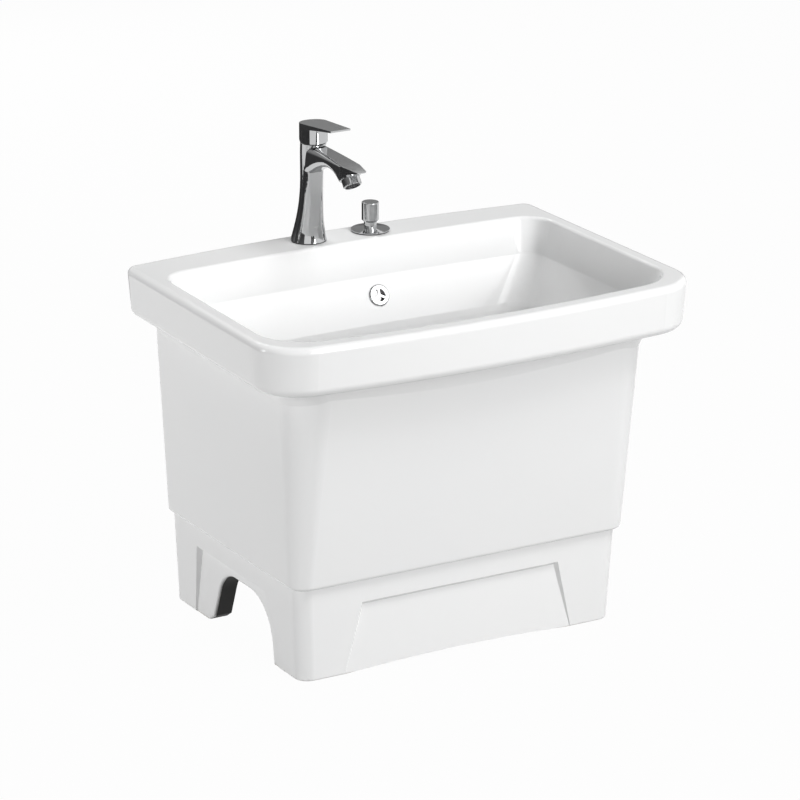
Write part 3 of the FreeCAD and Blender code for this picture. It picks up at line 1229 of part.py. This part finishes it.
def overflow_ring():
    """Make the spoked ring pushed into the overflow hole."""
    body = turned("overflow_ring", [
        ("overflow_bore/2", "-overflow_sleeve"),
        ("overflow_hole/2 - assembly_fit", "-overflow_sleeve"),
        ("overflow_hole/2 - assembly_fit", "assembly_fit"),
        ("overflow_ring/2", "assembly_fit"),
        ("overflow_ring/2", "overflow_lip/2"),
        ("overflow_ring/2 - overflow_lip/2", "overflow_lip", "overflow_lip/2"),
        ("overflow_bore/2", "overflow_lip"),
    ], ("overflow_x", OVERFLOW_Y, "basin_height - overflow_depth"))
    turn_body(body, RIGHT, f"90 deg - atan({BACK_SLOPE})")
    for index in range(SPOKES):
        angle = 90 + index * 360 / SPOKES
        corners = []
        for reach, side in (("0", -1), ("overflow_bore/2 + 0.5", -1), ("overflow_bore/2 + 0.5", 1), ("0", 1)):
            corners.append((
                f"({reach})*cos({angle}) - {side}*overflow_spoke/2*sin({angle})",
                f"({reach})*sin({angle}) + {side}*overflow_spoke/2*cos({angle})",
            ))
        prism(body, "Pad", "XY_Plane", corners, "overflow_lip*0.8", "0")


ceramic_basin()
tap_body()
cartridge()
lever_handle()
lever_fixings()
aerator()
tap_fixing()
knob_mount()
lift_knob()
clevis()
pivot()
drain_fixing()
drain_pipe()
pop_up_plug()
overflow_ring()

doc.recompute()
faults = [item.Label for item in doc.Objects if {"Invalid", "Error"} & set(item.State)]
faults += [part.Label for part in parts if part.Shape.isNull() or not part.Shape.isValid()]
if faults:
    raise RuntimeError(f"Failed: {faults}")

os.makedirs("parts", exist_ok=True)
for part in parts:
    part.Shape.exportStep(f"parts/{part.Label}.step")
    print(part.Label, round(part.Shape.Volume), len(part.Shape.Solids))
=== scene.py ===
"""Looks of a free-standing ceramic mop sink: its finishes and its studio."""

import bmesh
import bpy
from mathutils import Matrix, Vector

bl_info = {
    "name": "Ceramic mop sink",
    "version": (1, 0, 0),
    "blender": (4, 5, 0),
    "location": "View3D > Sidebar > Mop sink",
    "description": "Finishes and studio of a free-standing mop sink",
    "category": "Object",
}

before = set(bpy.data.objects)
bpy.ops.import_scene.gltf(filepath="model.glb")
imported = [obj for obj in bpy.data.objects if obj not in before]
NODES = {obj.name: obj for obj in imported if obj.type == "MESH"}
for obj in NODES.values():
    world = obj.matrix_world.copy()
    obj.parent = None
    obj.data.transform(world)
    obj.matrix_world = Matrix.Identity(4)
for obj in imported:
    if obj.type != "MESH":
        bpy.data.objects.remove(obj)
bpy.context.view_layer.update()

# Which finish each CAD node gets
CHROME_NODES = (
    "tap_body", "lever_handle", "aerator_housing", "knob_flange", "lift_knob", "drain_flange",
    "pop_up_plug", "lever_screw_plug", "drain_tailpiece",
)
BRASS_NODES = ("cartridge_stem", "knob_shank_nut", "drain_body")
STEEL_NODES = (
    "cartridge_pin", "lever_set_screw", "tap_mounting_stud", "tap_horseshoe_plate",
    "tap_mounting_nut", "lift_rod", "clevis_strap", "clevis_screw", "pivot_rod",
)
DARK_PLASTIC_NODES = (
    "cartridge_nut", "aerator_insert", "knob_shank_washer", "pivot_nut", "drain_back_nut",
)
PALE_PLASTIC_NODES = ("cartridge_body", "cartridge_turret", "pivot_seal")
RUBBER_NODES = (
    "aerator_washer", "tap_base_gasket", "tap_horseshoe_gasket", "knob_flange_gasket",
    "drain_flange_gasket", "drain_under_gasket", "plug_seal",
)

# Centre of the overflow ring on the bowl's back wall and its axis into the bowl
OVERFLOW_PLACE = (0.03, 0.13194, 0.389)
OVERFLOW_AXIS = (0.0, -0.8974, 0.4411)
# Distances along that axis between which the sleeve's painted shade turns into the plated lip
SLEEVE_END = -0.0002
LIP_START = 0.0004

# Limits of the bare clay inside the plinth
CLAY_TOP = 0.131
CLAY_FRONT = -0.0963
CLAY_BACK = 0.2085
CLAY_HALF_WIDTH = 0.2182
# Half the distance between the legs' inner faces, outside which the arches' cut faces lie; these
# faces get painted shade
ARCH_HALF_WIDTH = 0.1962
# A cut face's normal leans to the side less than this
ARCH_SIDE_LEAN = 0.6
# Heights between which the bare feet turn into glaze
FOOT_BARE = 0.0004
FOOT_GLAZED = 0.0014
CLAY_ROUGHNESS = 0.75
GLAZE_TINT = (0.975, 0.98, 0.99)
GLAZE_BUMP = 0.04
GLAZE_BUMP_HEIGHT = 0.004

# Range of the noise that drives the gloss, and the cloud scale and relief of plain finishes
NOISE_LOW = 0.3
NOISE_HIGH = 0.7
CLOUD_SCALE = 14.0
RELIEF_HEIGHT = 0.0004
CHROME_GRAIN = 180.0
CHROME_VARIATION = 0.03

# Sockets of the Mix node when it mixes colours, and when it mixes values
COLOUR_A, COLOUR_B, COLOUR_RESULT = 6, 7, 2
VALUE_A, VALUE_B, VALUE_RESULT = 2, 3, 0

# The floor reaches this far, and lies this far under the feet to keep clear of them
FLOOR_REACH = 12.0
FLOOR_DROP = 0.0004
FLOOR_GREY = 0.32
FLOOR_GLOW = 0.975
MATT = 0.9

CARD_DARK = (0.03, 0.03, 0.031)
TALL_CARD = 2.6
SENSOR_WIDTH = 36
VIEW_END = 100

# Each lamp's name, place, aim, width and height, and the setting that holds its power
SINK_MIDDLE = (0, 0, 0.35)
LAMPS = (
    ("key_light", (1.5, -3.1, 3.2), SINK_MIDDLE, (2.2, 2.2), "key_power"),
    ("high_light", (1.2, -2.0, 4.0), SINK_MIDDLE, (1.6, 1.6), "high_power"),
    ("front_light", (0.3, -3.4, 1.05), SINK_MIDDLE, (1.2, 0.9), "front_power"),
    ("fill_light", (-3.0, 0.6, 0.4), (0, 0, 0.25), (0.8, 0.6), "fill_power"),
    ("back_light", (0.0, 1.8, 2.9), SINK_MIDDLE, (1.6, 1.6), "back_power"),
    ("rear_light", (0.8, 3.2, 0.9), SINK_MIDDLE, (1.2, 0.9), "rear_power"),
)


class FinishSettings(bpy.types.PropertyGroup):
    """Colours and gloss of the sink's finishes."""
    glaze: bpy.props.FloatVectorProperty(
        name="Glaze", description="Colour of the white glaze", subtype="COLOR", size=3, min=0,
        max=1, default=(0.86, 0.86, 0.855))
    bisque: bpy.props.FloatVectorProperty(
        name="Bisque", description="Colour of the bare clay inside and under the plinth",
        subtype="COLOR", size=3, min=0, max=1, default=(0.5, 0.475, 0.43))
    # Near-black painted shade for the side arches' cut faces, which lie in deep shade inside the
    # plinth
    painted_edge_shade: bpy.props.FloatVectorProperty(
        name="Painted edge shade", description="Colour of the cut faces of the side arches",
        subtype="COLOR", size=3, min=0, max=1, default=(0.012, 0.0117, 0.011))
    glaze_roughness: bpy.props.FloatProperty(
        name="Glaze roughness", description="Roughness of the glaze", default=0.1, min=0, max=1,
        subtype="FACTOR")
    chrome: bpy.props.FloatVectorProperty(
        name="Chrome", description="Colour of the chrome plate", subtype="COLOR", size=3, min=0,
        max=1, default=(0.55, 0.555, 0.56))
    chrome_roughness: bpy.props.FloatProperty(
        name="Chrome roughness", description="Roughness of the chrome plate", default=0.05,
        min=0, max=1, subtype="FACTOR")
    brass: bpy.props.FloatVectorProperty(
        name="Brass", description="Colour of the machined brass", subtype="COLOR", size=3, min=0,
        max=1, default=(0.72, 0.55, 0.28))
    steel: bpy.props.FloatVectorProperty(
        name="Steel", description="Colour of the plated steel", subtype="COLOR", size=3, min=0,
        max=1, default=(0.6, 0.61, 0.62))
    dark_plastic: bpy.props.FloatVectorProperty(
        name="Dark plastic", description="Colour of the dark plastic fittings", subtype="COLOR",
        size=3, min=0, max=1, default=(0.035, 0.035, 0.037))
    pale_plastic: bpy.props.FloatVectorProperty(
        name="Pale plastic", description="Colour of the pale plastic fittings", subtype="COLOR",
        size=3, min=0, max=1, default=(0.78, 0.78, 0.74))
    rubber: bpy.props.FloatVectorProperty(
        name="Rubber", description="Colour of the rubber seals", subtype="COLOR", size=3, min=0,
        max=1, default=(0.025, 0.025, 0.026))


class StudioSettings(bpy.types.PropertyGroup):
    """Camera and light of the studio."""
    camera_place: bpy.props.FloatVectorProperty(
        name="Camera", description="Where the camera stands", subtype="TRANSLATION", size=3,
        default=(-2.5588, -4.4604, 2.023))
    camera_aim: bpy.props.FloatVectorProperty(
        name="Aim", description="Point the camera looks at", subtype="TRANSLATION", size=3,
        default=(-0.0336, -0.0333, 0.3078))
    lens: bpy.props.FloatProperty(
        name="Lens", description="Focal length on a 36 mm wide sensor, in millimetres",
        default=195.75, min=1)
    ambient: bpy.props.FloatProperty(
        name="Ambient", description="Strength of the even light from all round", default=0.03,
        min=0)
    card_height: bpy.props.FloatProperty(
        name="Back card", description="Height of the dark card behind the sink", default=1.25,
        min=0.1, unit="LENGTH")
    key_power: bpy.props.FloatProperty(
        name="Key", description="Power of the large light in front", default=50, min=0,
        subtype="POWER", unit="POWER")
    fill_power: bpy.props.FloatProperty(
        name="Fill", description="Power of the light on the left", default=46, min=0,
        subtype="POWER", unit="POWER")
    front_power: bpy.props.FloatProperty(
        name="Front", description="Power of the low light in front", default=62, min=0,
        subtype="POWER", unit="POWER")
    high_power: bpy.props.FloatProperty(
        name="High", description="Power of the steep light in front", default=84, min=0,
        subtype="POWER", unit="POWER")
    rear_power: bpy.props.FloatProperty(
        name="Rear", description="Power of the low light behind", default=34, min=0,
        subtype="POWER", unit="POWER")
    back_power: bpy.props.FloatProperty(
        name="Back", description="Power of the light over the back", default=41, min=0,
        subtype="POWER", unit="POWER")


# Shader building

def new_material(name):
    """Start a material and return it with its node tree and main shader."""
    material = bpy.data.materials.new(name)
    material.use_nodes = True
    tree = material.node_tree
    return material, tree, tree.nodes["Principled BSDF"]


def add_node(tree, kind, **values):
    """Add a node and set its inputs by name."""
    node = tree.nodes.new(kind)
    for name, value in values.items():
        node.inputs[name.replace("_", " ")].default_value = value
    return node


def math_node(tree, operation, first, second=None):
    """Join values through a math node and return its result."""
    node = tree.nodes.new("ShaderNodeMath")
    node.operation = operation
    for socket, value in zip(node.inputs, (first, second)):
        if value is None:
            continue
        if isinstance(value, (int, float)):
            socket.default_value = value
        else:
            tree.links.new(value, socket)
    return node.outputs[0]


def both(tree, first, second):
    """Return the mask where two masks hold."""
    return math_node(tree, "MULTIPLY", first, second)


def below(tree, value, limit):
    """Return the mask where a value is under a limit."""
    return math_node(tree, "LESS_THAN", value, limit)


def above(tree, value, limit):
    """Return the mask where a value is over a limit."""
    return math_node(tree, "GREATER_THAN", value, limit)


def mix_colours(tree, mask, first, second):
    """Mix two colours by a mask and return the result."""
    node = tree.nodes.new("ShaderNodeMix")
    node.data_type = "RGBA"
    tree.links.new(mask, node.inputs[0])
    for socket, value in ((node.inputs[COLOUR_A], first), (node.inputs[COLOUR_B], second)):
        if isinstance(value, bpy.types.NodeSocket):
            tree.links.new(value, socket)
        else:
            socket.default_value = (*value, 1)
    return node.outputs[COLOUR_RESULT]


def spread(tree, value, low, high, start, end):
    """Map a value from one range to another and return the result."""
    node = add_node(
        tree, "ShaderNodeMapRange", From_Min=low, From_Max=high, To_Min=start, To_Max=end)
    tree.links.new(value, node.inputs[0])
    return node.outputs[0]


def split_axes(tree, vector):
    """Return a vector's X, Y and Z."""
    node = tree.nodes.new("ShaderNodeSeparateXYZ")
    tree.links.new(vector, node.inputs[0])
    return node.outputs["X"], node.outputs["Y"], node.outputs["Z"]


def surface_grain():
    """Build the shared group of fine surface variation: two masks and a height."""
    group = bpy.data.node_groups.new("surface_grain", "ShaderNodeTree")
    for name, default in (("Fine Scale", 400.0), ("Cloud Scale", 9.0)):
        socket = group.interface.new_socket(name, in_out="INPUT", socket_type="NodeSocketFloat")
        socket.default_value = default
    for name in ("Fine", "Cloud", "Height"):
        group.interface.new_socket(name, in_out="OUTPUT", socket_type="NodeSocketFloat")
    entry = group.nodes.new("NodeGroupInput")
    leave = group.nodes.new("NodeGroupOutput")
    place = group.nodes.new("ShaderNodeTexCoord")
    fine = add_node(group, "ShaderNodeTexNoise", Detail=4.0, Roughness=0.6)
    cloud = add_node(group, "ShaderNodeTexNoise", Detail=3.0, Roughness=0.5)
    for noise, name in ((fine, "Fine Scale"), (cloud, "Cloud Scale")):
        group.links.new(place.outputs["Object"], noise.inputs["Vector"])
        group.links.new(entry.outputs[name], noise.inputs["Scale"])
    group.links.new(fine.outputs["Fac"], leave.inputs["Fine"])
    group.links.new(cloud.outputs["Fac"], leave.inputs["Cloud"])
    height = math_node(group, "MULTIPLY", fine.outputs["Fac"], cloud.outputs["Fac"])
    group.links.new(height, leave.inputs["Height"])
    return group


def add_grain(tree, fine_scale, cloud_scale):
    """Place the shared surface group in a material."""
    node = tree.nodes.new("ShaderNodeGroup")
    node.node_tree = bpy.data.node_groups.get("surface_grain") or surface_grain()
    node.inputs["Fine Scale"].default_value = fine_scale
    node.inputs["Cloud Scale"].default_value = cloud_scale
    return node


def add_bump(tree, shader, height, strength, distance):
    """Feed a height into the shader's normal."""
    bump = add_node(tree, "ShaderNodeBump", Strength=strength, Distance=distance)
    tree.links.new(height, bump.inputs["Height"])
    tree.links.new(bump.outputs["Normal"], shader.inputs["Normal"])


def vary_gloss(tree, noise, smoothest, roughest):
    """Return a roughness that follows a noise."""
    return spread(tree, noise, NOISE_LOW, NOISE_HIGH, smoothest, roughest)


def plain_finish(name, colour, metallic, roughness, fine_scale, variation, bump):
    """Make a finish whose tone, gloss and relief vary finely over the surface."""
    material, tree, shader = new_material(name)
    grain = add_grain(tree, fine_scale, CLOUD_SCALE)
    shader.inputs["Metallic"].default_value = metallic
    darker = tuple(channel * (1 - variation) for channel in colour)
    tone = mix_colours(tree, grain.outputs["Cloud"], darker, colour)
    tree.links.new(tone, shader.inputs["Base Color"])
    gloss = vary_gloss(tree, grain.outputs["Fine"], 0.75 * roughness, 1.3 * roughness)
    tree.links.new(gloss, shader.inputs["Roughness"])
    add_bump(tree, shader, grain.outputs["Height"], bump, RELIEF_HEIGHT)
    return material


def overflow_finish(settings):
    """Plate the overflow ring's lip and spokes, and paint shade on its sleeve inside the hole in
    the dark plastic colour.
    """
    material, tree, shader = new_material("overflow_plate")
    grain = add_grain(tree, CHROME_GRAIN, CLOUD_SCALE)
    place = tree.nodes.new("ShaderNodeTexCoord")
    depth = tree.nodes.new("ShaderNodeVectorMath")
    depth.operation = "DOT_PRODUCT"
    depth.inputs[1].default_value = OVERFLOW_AXIS
    tree.links.new(place.outputs["Object"], depth.inputs[0])
    mouth = Vector(OVERFLOW_PLACE).dot(Vector(OVERFLOW_AXIS))
    sleeve = spread(
        tree, depth.outputs["Value"], mouth + SLEEVE_END, mouth + LIP_START, 1.0, 0.0)
    darker = tuple(channel * (1 - CHROME_VARIATION) for channel in settings.chrome)
    plate = mix_colours(tree, grain.outputs["Cloud"], darker, settings.chrome)
    # Painted shade: the sleeve inside the hole takes the dark plastic colour
    tone = mix_colours(tree, sleeve, plate, settings.dark_plastic)
    tree.links.new(tone, shader.inputs["Base Color"])
    shader.inputs["Metallic"].default_value = 1.0
    roughness = settings.chrome_roughness
    gloss = vary_gloss(tree, grain.outputs["Fine"], roughness, 2 * roughness)
    tree.links.new(gloss, shader.inputs["Roughness"])
    return material


def glaze_finish(settings):
    """Make the white glaze, with bare clay inside the plinth and where it stands, and painted
    shade on the arches' cut faces.
    """
    material, tree, shader = new_material("white_glaze")
    grain = add_grain(tree, 260.0, 5.0)
    cloud = grain.outputs["Cloud"]
    place = tree.nodes.new("ShaderNodeTexCoord")
    x, y, z = split_axes(tree, place.outputs["Object"])
    across = math_node(tree, "ABSOLUTE", x)
    plinth = both(tree, below(tree, z, CLAY_TOP), above(tree, y, CLAY_FRONT))
    plinth = both(tree, plinth, below(tree, y, CLAY_BACK))
    inside = both(tree, plinth, below(tree, across, CLAY_HALF_WIDTH))
    sideways = split_axes(tree, place.outputs["Normal"])[0]
    edge_on = below(tree, math_node(tree, "ABSOLUTE", sideways), ARCH_SIDE_LEAN)
    # Mask of the arches' cut faces, which get painted shade: a near-black colour standing in for
    # the shade inside the plinth
    cut = both(tree, inside, above(tree, across, ARCH_HALF_WIDTH))
    cut = both(tree, cut, edge_on)
    feet = spread(tree, z, FOOT_BARE, FOOT_GLAZED, 1.0, 0.0)
    bare = math_node(tree, "MAXIMUM", inside, feet)
    cooler = tuple(channel * tint for channel, tint in zip(settings.glaze, GLAZE_TINT))
    white = mix_colours(tree, cloud, cooler, settings.glaze)
    clay = mix_colours(tree, bare, white, settings.bisque)
    # The arches' cut faces take the near-black painted shade
    tone = mix_colours(tree, cut, clay, settings.painted_edge_shade)
    tree.links.new(tone, shader.inputs["Base Color"])
    roughness = settings.glaze_roughness
    gloss = vary_gloss(tree, cloud, 0.7 * roughness, 1.3 * roughness)
    rough = tree.nodes.new("ShaderNodeMix")
    tree.links.new(math_node(tree, "MAXIMUM", bare, cut), rough.inputs[0])
    tree.links.new(gloss, rough.inputs[VALUE_A])
    rough.inputs[VALUE_B].default_value = CLAY_ROUGHNESS
    tree.links.new(rough.outputs[VALUE_RESULT], shader.inputs["Roughness"])
    add_bump(tree, shader, cloud, GLAZE_BUMP, GLAZE_BUMP_HEIGHT)
    return material


def dress(names, material):
    """Give nodes a finish."""
    for name in names:
        slots = NODES[name].material_slots
        if not slots:
            NODES[name].data.materials.append(material)
        for slot in slots:
            slot.material = material


# Studio building

def link_mesh(name, shape, material):
    """Turn a bmesh into a stage object with a material and return it."""
    mesh = bpy.data.meshes.new(name)
    shape.to_mesh(mesh)
    shape.free()
    mesh.materials.append(material)
    piece = bpy.data.objects.new(name, mesh)
    bpy.context.scene.collection.objects.link(piece)
    return piece


def area_light(name, place, aim, size, power):
    """Hang a soft rectangular light."""
    lamp = bpy.data.lights.new(name, "AREA")
    lamp.shape = "RECTANGLE"
    lamp.size, lamp.size_y = size
    lamp.energy = power
    light = bpy.data.objects.new(name, lamp)
    light.location = place
    light.rotation_euler = (Vector(aim) - Vector(place)).to_track_quat("-Z", "Y").to_euler()
    light.visible_camera = False
    bpy.context.scene.collection.objects.link(light)


def studio_world(scene, ambient):
    """Light evenly from all round and show white to the camera, metal and glass."""
    world = bpy.data.worlds.new("studio")
    world.use_nodes = True
    tree = world.node_tree
    path = tree.nodes.new("ShaderNodeLightPath")
    shown = math_node(
        tree, "MAXIMUM", path.outputs["Is Camera Ray"], path.outputs["Is Glossy Ray"])
    shown = math_node(tree, "MAXIMUM", shown, path.outputs["Is Transmission Ray"])
    colour = mix_colours(tree, shown, (ambient,) * 3, (1.0, 1.0, 1.0))
    tree.links.new(colour, tree.nodes["Background"].inputs["Color"])
    scene.world = world


def floor_finish():
    """Make the white floor, which keeps a soft shadow."""
    material, tree, shader = new_material("studio_floor")
    shader.inputs["Base Color"].default_value = (FLOOR_GREY, FLOOR_GREY, FLOOR_GREY, 1)
    shader.inputs["Roughness"].default_value = MATT
    shader.inputs["Specular IOR Level"].default_value = 0.0
    glow = add_node(tree, "ShaderNodeEmission", Color=(1, 1, 1, 1), Strength=1.0)
    path = tree.nodes.new("ShaderNodeLightPath")
    seen = math_node(
        tree, "MAXIMUM", path.outputs["Is Camera Ray"], path.outputs["Is Glossy Ray"])
    mix = tree.nodes.new("ShaderNodeMixShader")
    tree.links.new(math_node(tree, "MULTIPLY", seen, FLOOR_GLOW), mix.inputs[0])
    tree.links.new(shader.outputs[0], mix.inputs[1])
    tree.links.new(glow.outputs[0], mix.inputs[2])
    tree.links.new(mix.outputs[0], tree.nodes["Material Output"].inputs["Surface"])
    return material


def studio_floor():
    """Lay the floor."""
    shape = bmesh.new()
    bmesh.ops.create_grid(shape, x_segments=1, y_segments=1, size=FLOOR_REACH)
    bmesh.ops.translate(shape, verts=shape.verts, vec=(0, 0, -FLOOR_DROP))
    link_mesh("studio_floor", shape, floor_finish())


def card_finish(name, low, high, tone):
    """Make a card's dark grey, which pales to a tone between two heights."""
    material, tree, shader = new_material(name)
    place = tree.nodes.new("ShaderNodeTexCoord")
    rise = spread(tree, split_axes(tree, place.outputs["Object"])[2], low, high, 0.0, 1.0)
    grey = mix_colours(tree, rise, CARD_DARK, (tone, tone, tone))
    tree.links.new(grey, shader.inputs["Base Color"])
    shader.inputs["Roughness"].default_value = MATT
    return material


def studio_card(name, corner, along, across, material):
    """Hang a card where only the reflections show it."""
    shape = bmesh.new()
    start, along, across = Vector(corner), Vector(along), Vector(across)
    corners = (start, start + along, start + along + across, start + across)
    shape.faces.new([shape.verts.new(place) for place in corners])
    card = link_mesh(name, shape, material)
    card.visible_camera = False
    card.visible_diffuse = False
    card.visible_shadow = False


def studio_cards(height):
    """Hang the cards that the chrome reflects, the back one to a given height."""
    dark = card_finish("studio_card", low=0.3 * height, high=height, tone=0.2)
    pale_topped = card_finish("studio_back_card", low=0.25 * height, high=0.6 * height, tone=0.32)
    pale = card_finish("studio_roof_card", low=0.0, high=height, tone=0.55)
    upright = (0.0, 0.0, TALL_CARD)
    studio_card("back_card", (-1.5, 1.4, 0.0), (3.4, 0.0, 0.0), (0.0, 0.0, height), pale_topped)
    studio_card("left_card", (-1.5, -0.75, 0.0), (0.0, 2.15, 0.0), upright, dark)
    studio_card("front_card", (-0.9, -3.4, 0.0), (1.5, 0.0, 0.0), upright, dark)
    studio_card("roof_card", (-1.5, -1.6, TALL_CARD), (4.7, 0.0, 0.0), (0.0, 4.8, 0.0), pale)


def photo_camera(scene, studio):
    """Stand the camera where the photo was taken from."""
    lens = bpy.data.cameras.new("photo_camera")
    lens.lens = studio.lens
    lens.sensor_width = SENSOR_WIDTH
    lens.clip_end = VIEW_END
    camera = bpy.data.objects.new("photo_camera", lens)
    place = Vector(studio.camera_place)
    camera.location = place
    view = Vector(studio.camera_aim) - place
    camera.rotation_euler = view.to_track_quat("-Z", "Y").to_euler()
    scene.collection.objects.link(camera)
    scene.camera = camera


# Operators

class MOPSINK_OT_glaze(bpy.types.Operator):
    """Glaze the ceramic basin"""
    bl_idname = "mopsink.glaze"
    bl_label = "Glaze"

    def execute(self, context):
        dress(("ceramic_basin",), glaze_finish(context.scene.mopsink_finish))
        return {"FINISHED"}


class MOPSINK_OT_metal(bpy.types.Operator):
    """Plate the tap, knob and waste and finish the hidden metal"""
    bl_idname = "mopsink.metal"
    bl_label = "Metal"

    def execute(self, context):
        finish = context.scene.mopsink_finish
        dress(CHROME_NODES, plain_finish(
            "chrome_plate", finish.chrome, metallic=1.0, roughness=finish.chrome_roughness,
            fine_scale=CHROME_GRAIN, variation=CHROME_VARIATION, bump=0.01))
        dress(("overflow_ring",), overflow_finish(finish))
        dress(BRASS_NODES, plain_finish(
            "machined_brass", finish.brass, metallic=1.0, roughness=0.3, fine_scale=900.0,
            variation=0.12, bump=0.06))
        dress(STEEL_NODES, plain_finish(
            "plated_steel", finish.steel, metallic=1.0, roughness=0.32, fine_scale=700.0,
            variation=0.1, bump=0.08))
        return {"FINISHED"}


class MOPSINK_OT_plastic(bpy.types.Operator):
    """Finish the plastic fittings and rubber seals"""
    bl_idname = "mopsink.plastic"
    bl_label = "Plastic and rubber"

    def execute(self, context):
        finish = context.scene.mopsink_finish
        dress(DARK_PLASTIC_NODES, plain_finish(
            "dark_plastic", finish.dark_plastic, metallic=0.0, roughness=0.5, fine_scale=900.0,
            variation=0.15, bump=0.1))
        dress(PALE_PLASTIC_NODES, plain_finish(
            "pale_plastic", finish.pale_plastic, metallic=0.0, roughness=0.35, fine_scale=700.0,
            variation=0.05, bump=0.04))
        dress(RUBBER_NODES, plain_finish(
            "seal_rubber", finish.rubber, metallic=0.0, roughness=0.7, fine_scale=1200.0,
            variation=0.2, bump=0.12))
        return {"FINISHED"}


class MOPSINK_OT_stage(bpy.types.Operator):
    """Set the floor, cards, lights and camera"""
    bl_idname = "mopsink.stage"
    bl_label = "Stage"

    def execute(self, context):
        scene = context.scene
        studio = scene.mopsink_studio
        scene.view_settings.view_transform = "Standard"
        studio_world(scene, studio.ambient)
        studio_floor()
        studio_cards(studio.card_height)
        for name, place, aim, size, power in LAMPS:
            area_light(name, place, aim, size, getattr(studio, power))
        photo_camera(scene, studio)
        return {"FINISHED"}


class MOPSINK_PT_panel(bpy.types.Panel):
    """The sink's steps and settings"""
    bl_idname = "MOPSINK_PT_panel"
    bl_label = "Mop sink"
    bl_space_type = "VIEW_3D"
    bl_region_type = "UI"
    bl_category = "Mop sink"

    def draw(self, context):
        for operator in OPERATORS:
            self.layout.operator(operator.bl_idname)
        for settings in (context.scene.mopsink_finish, context.scene.mopsink_studio):
            for name in settings.bl_rna.properties.keys():
                if name not in ("rna_type", "name"):
                    self.layout.prop(settings, name)


OPERATORS = (MOPSINK_OT_glaze, MOPSINK_OT_metal, MOPSINK_OT_plastic, MOPSINK_OT_stage)
CLASSES = (FinishSettings, StudioSettings, *OPERATORS, MOPSINK_PT_panel)


def register():
    """Register the classes and hang their settings on the scene."""
    for cls in CLASSES:
        bpy.utils.register_class(cls)
    bpy.types.Scene.mopsink_finish = bpy.props.PointerProperty(type=FinishSettings)
    bpy.types.Scene.mopsink_studio = bpy.props.PointerProperty(type=StudioSettings)


def unregister():
    """Take the settings and classes away."""
    del bpy.types.Scene.mopsink_studio
    del bpy.types.Scene.mopsink_finish
    for cls in reversed(CLASSES):
        bpy.utils.unregister_class(cls)


def main():
    """Build the looks in order."""
    register()
    bpy.ops.mopsink.glaze()
    bpy.ops.mopsink.metal()
    bpy.ops.mopsink.plastic()
    bpy.ops.mopsink.stage()


if __name__ == "__main__":
    main()
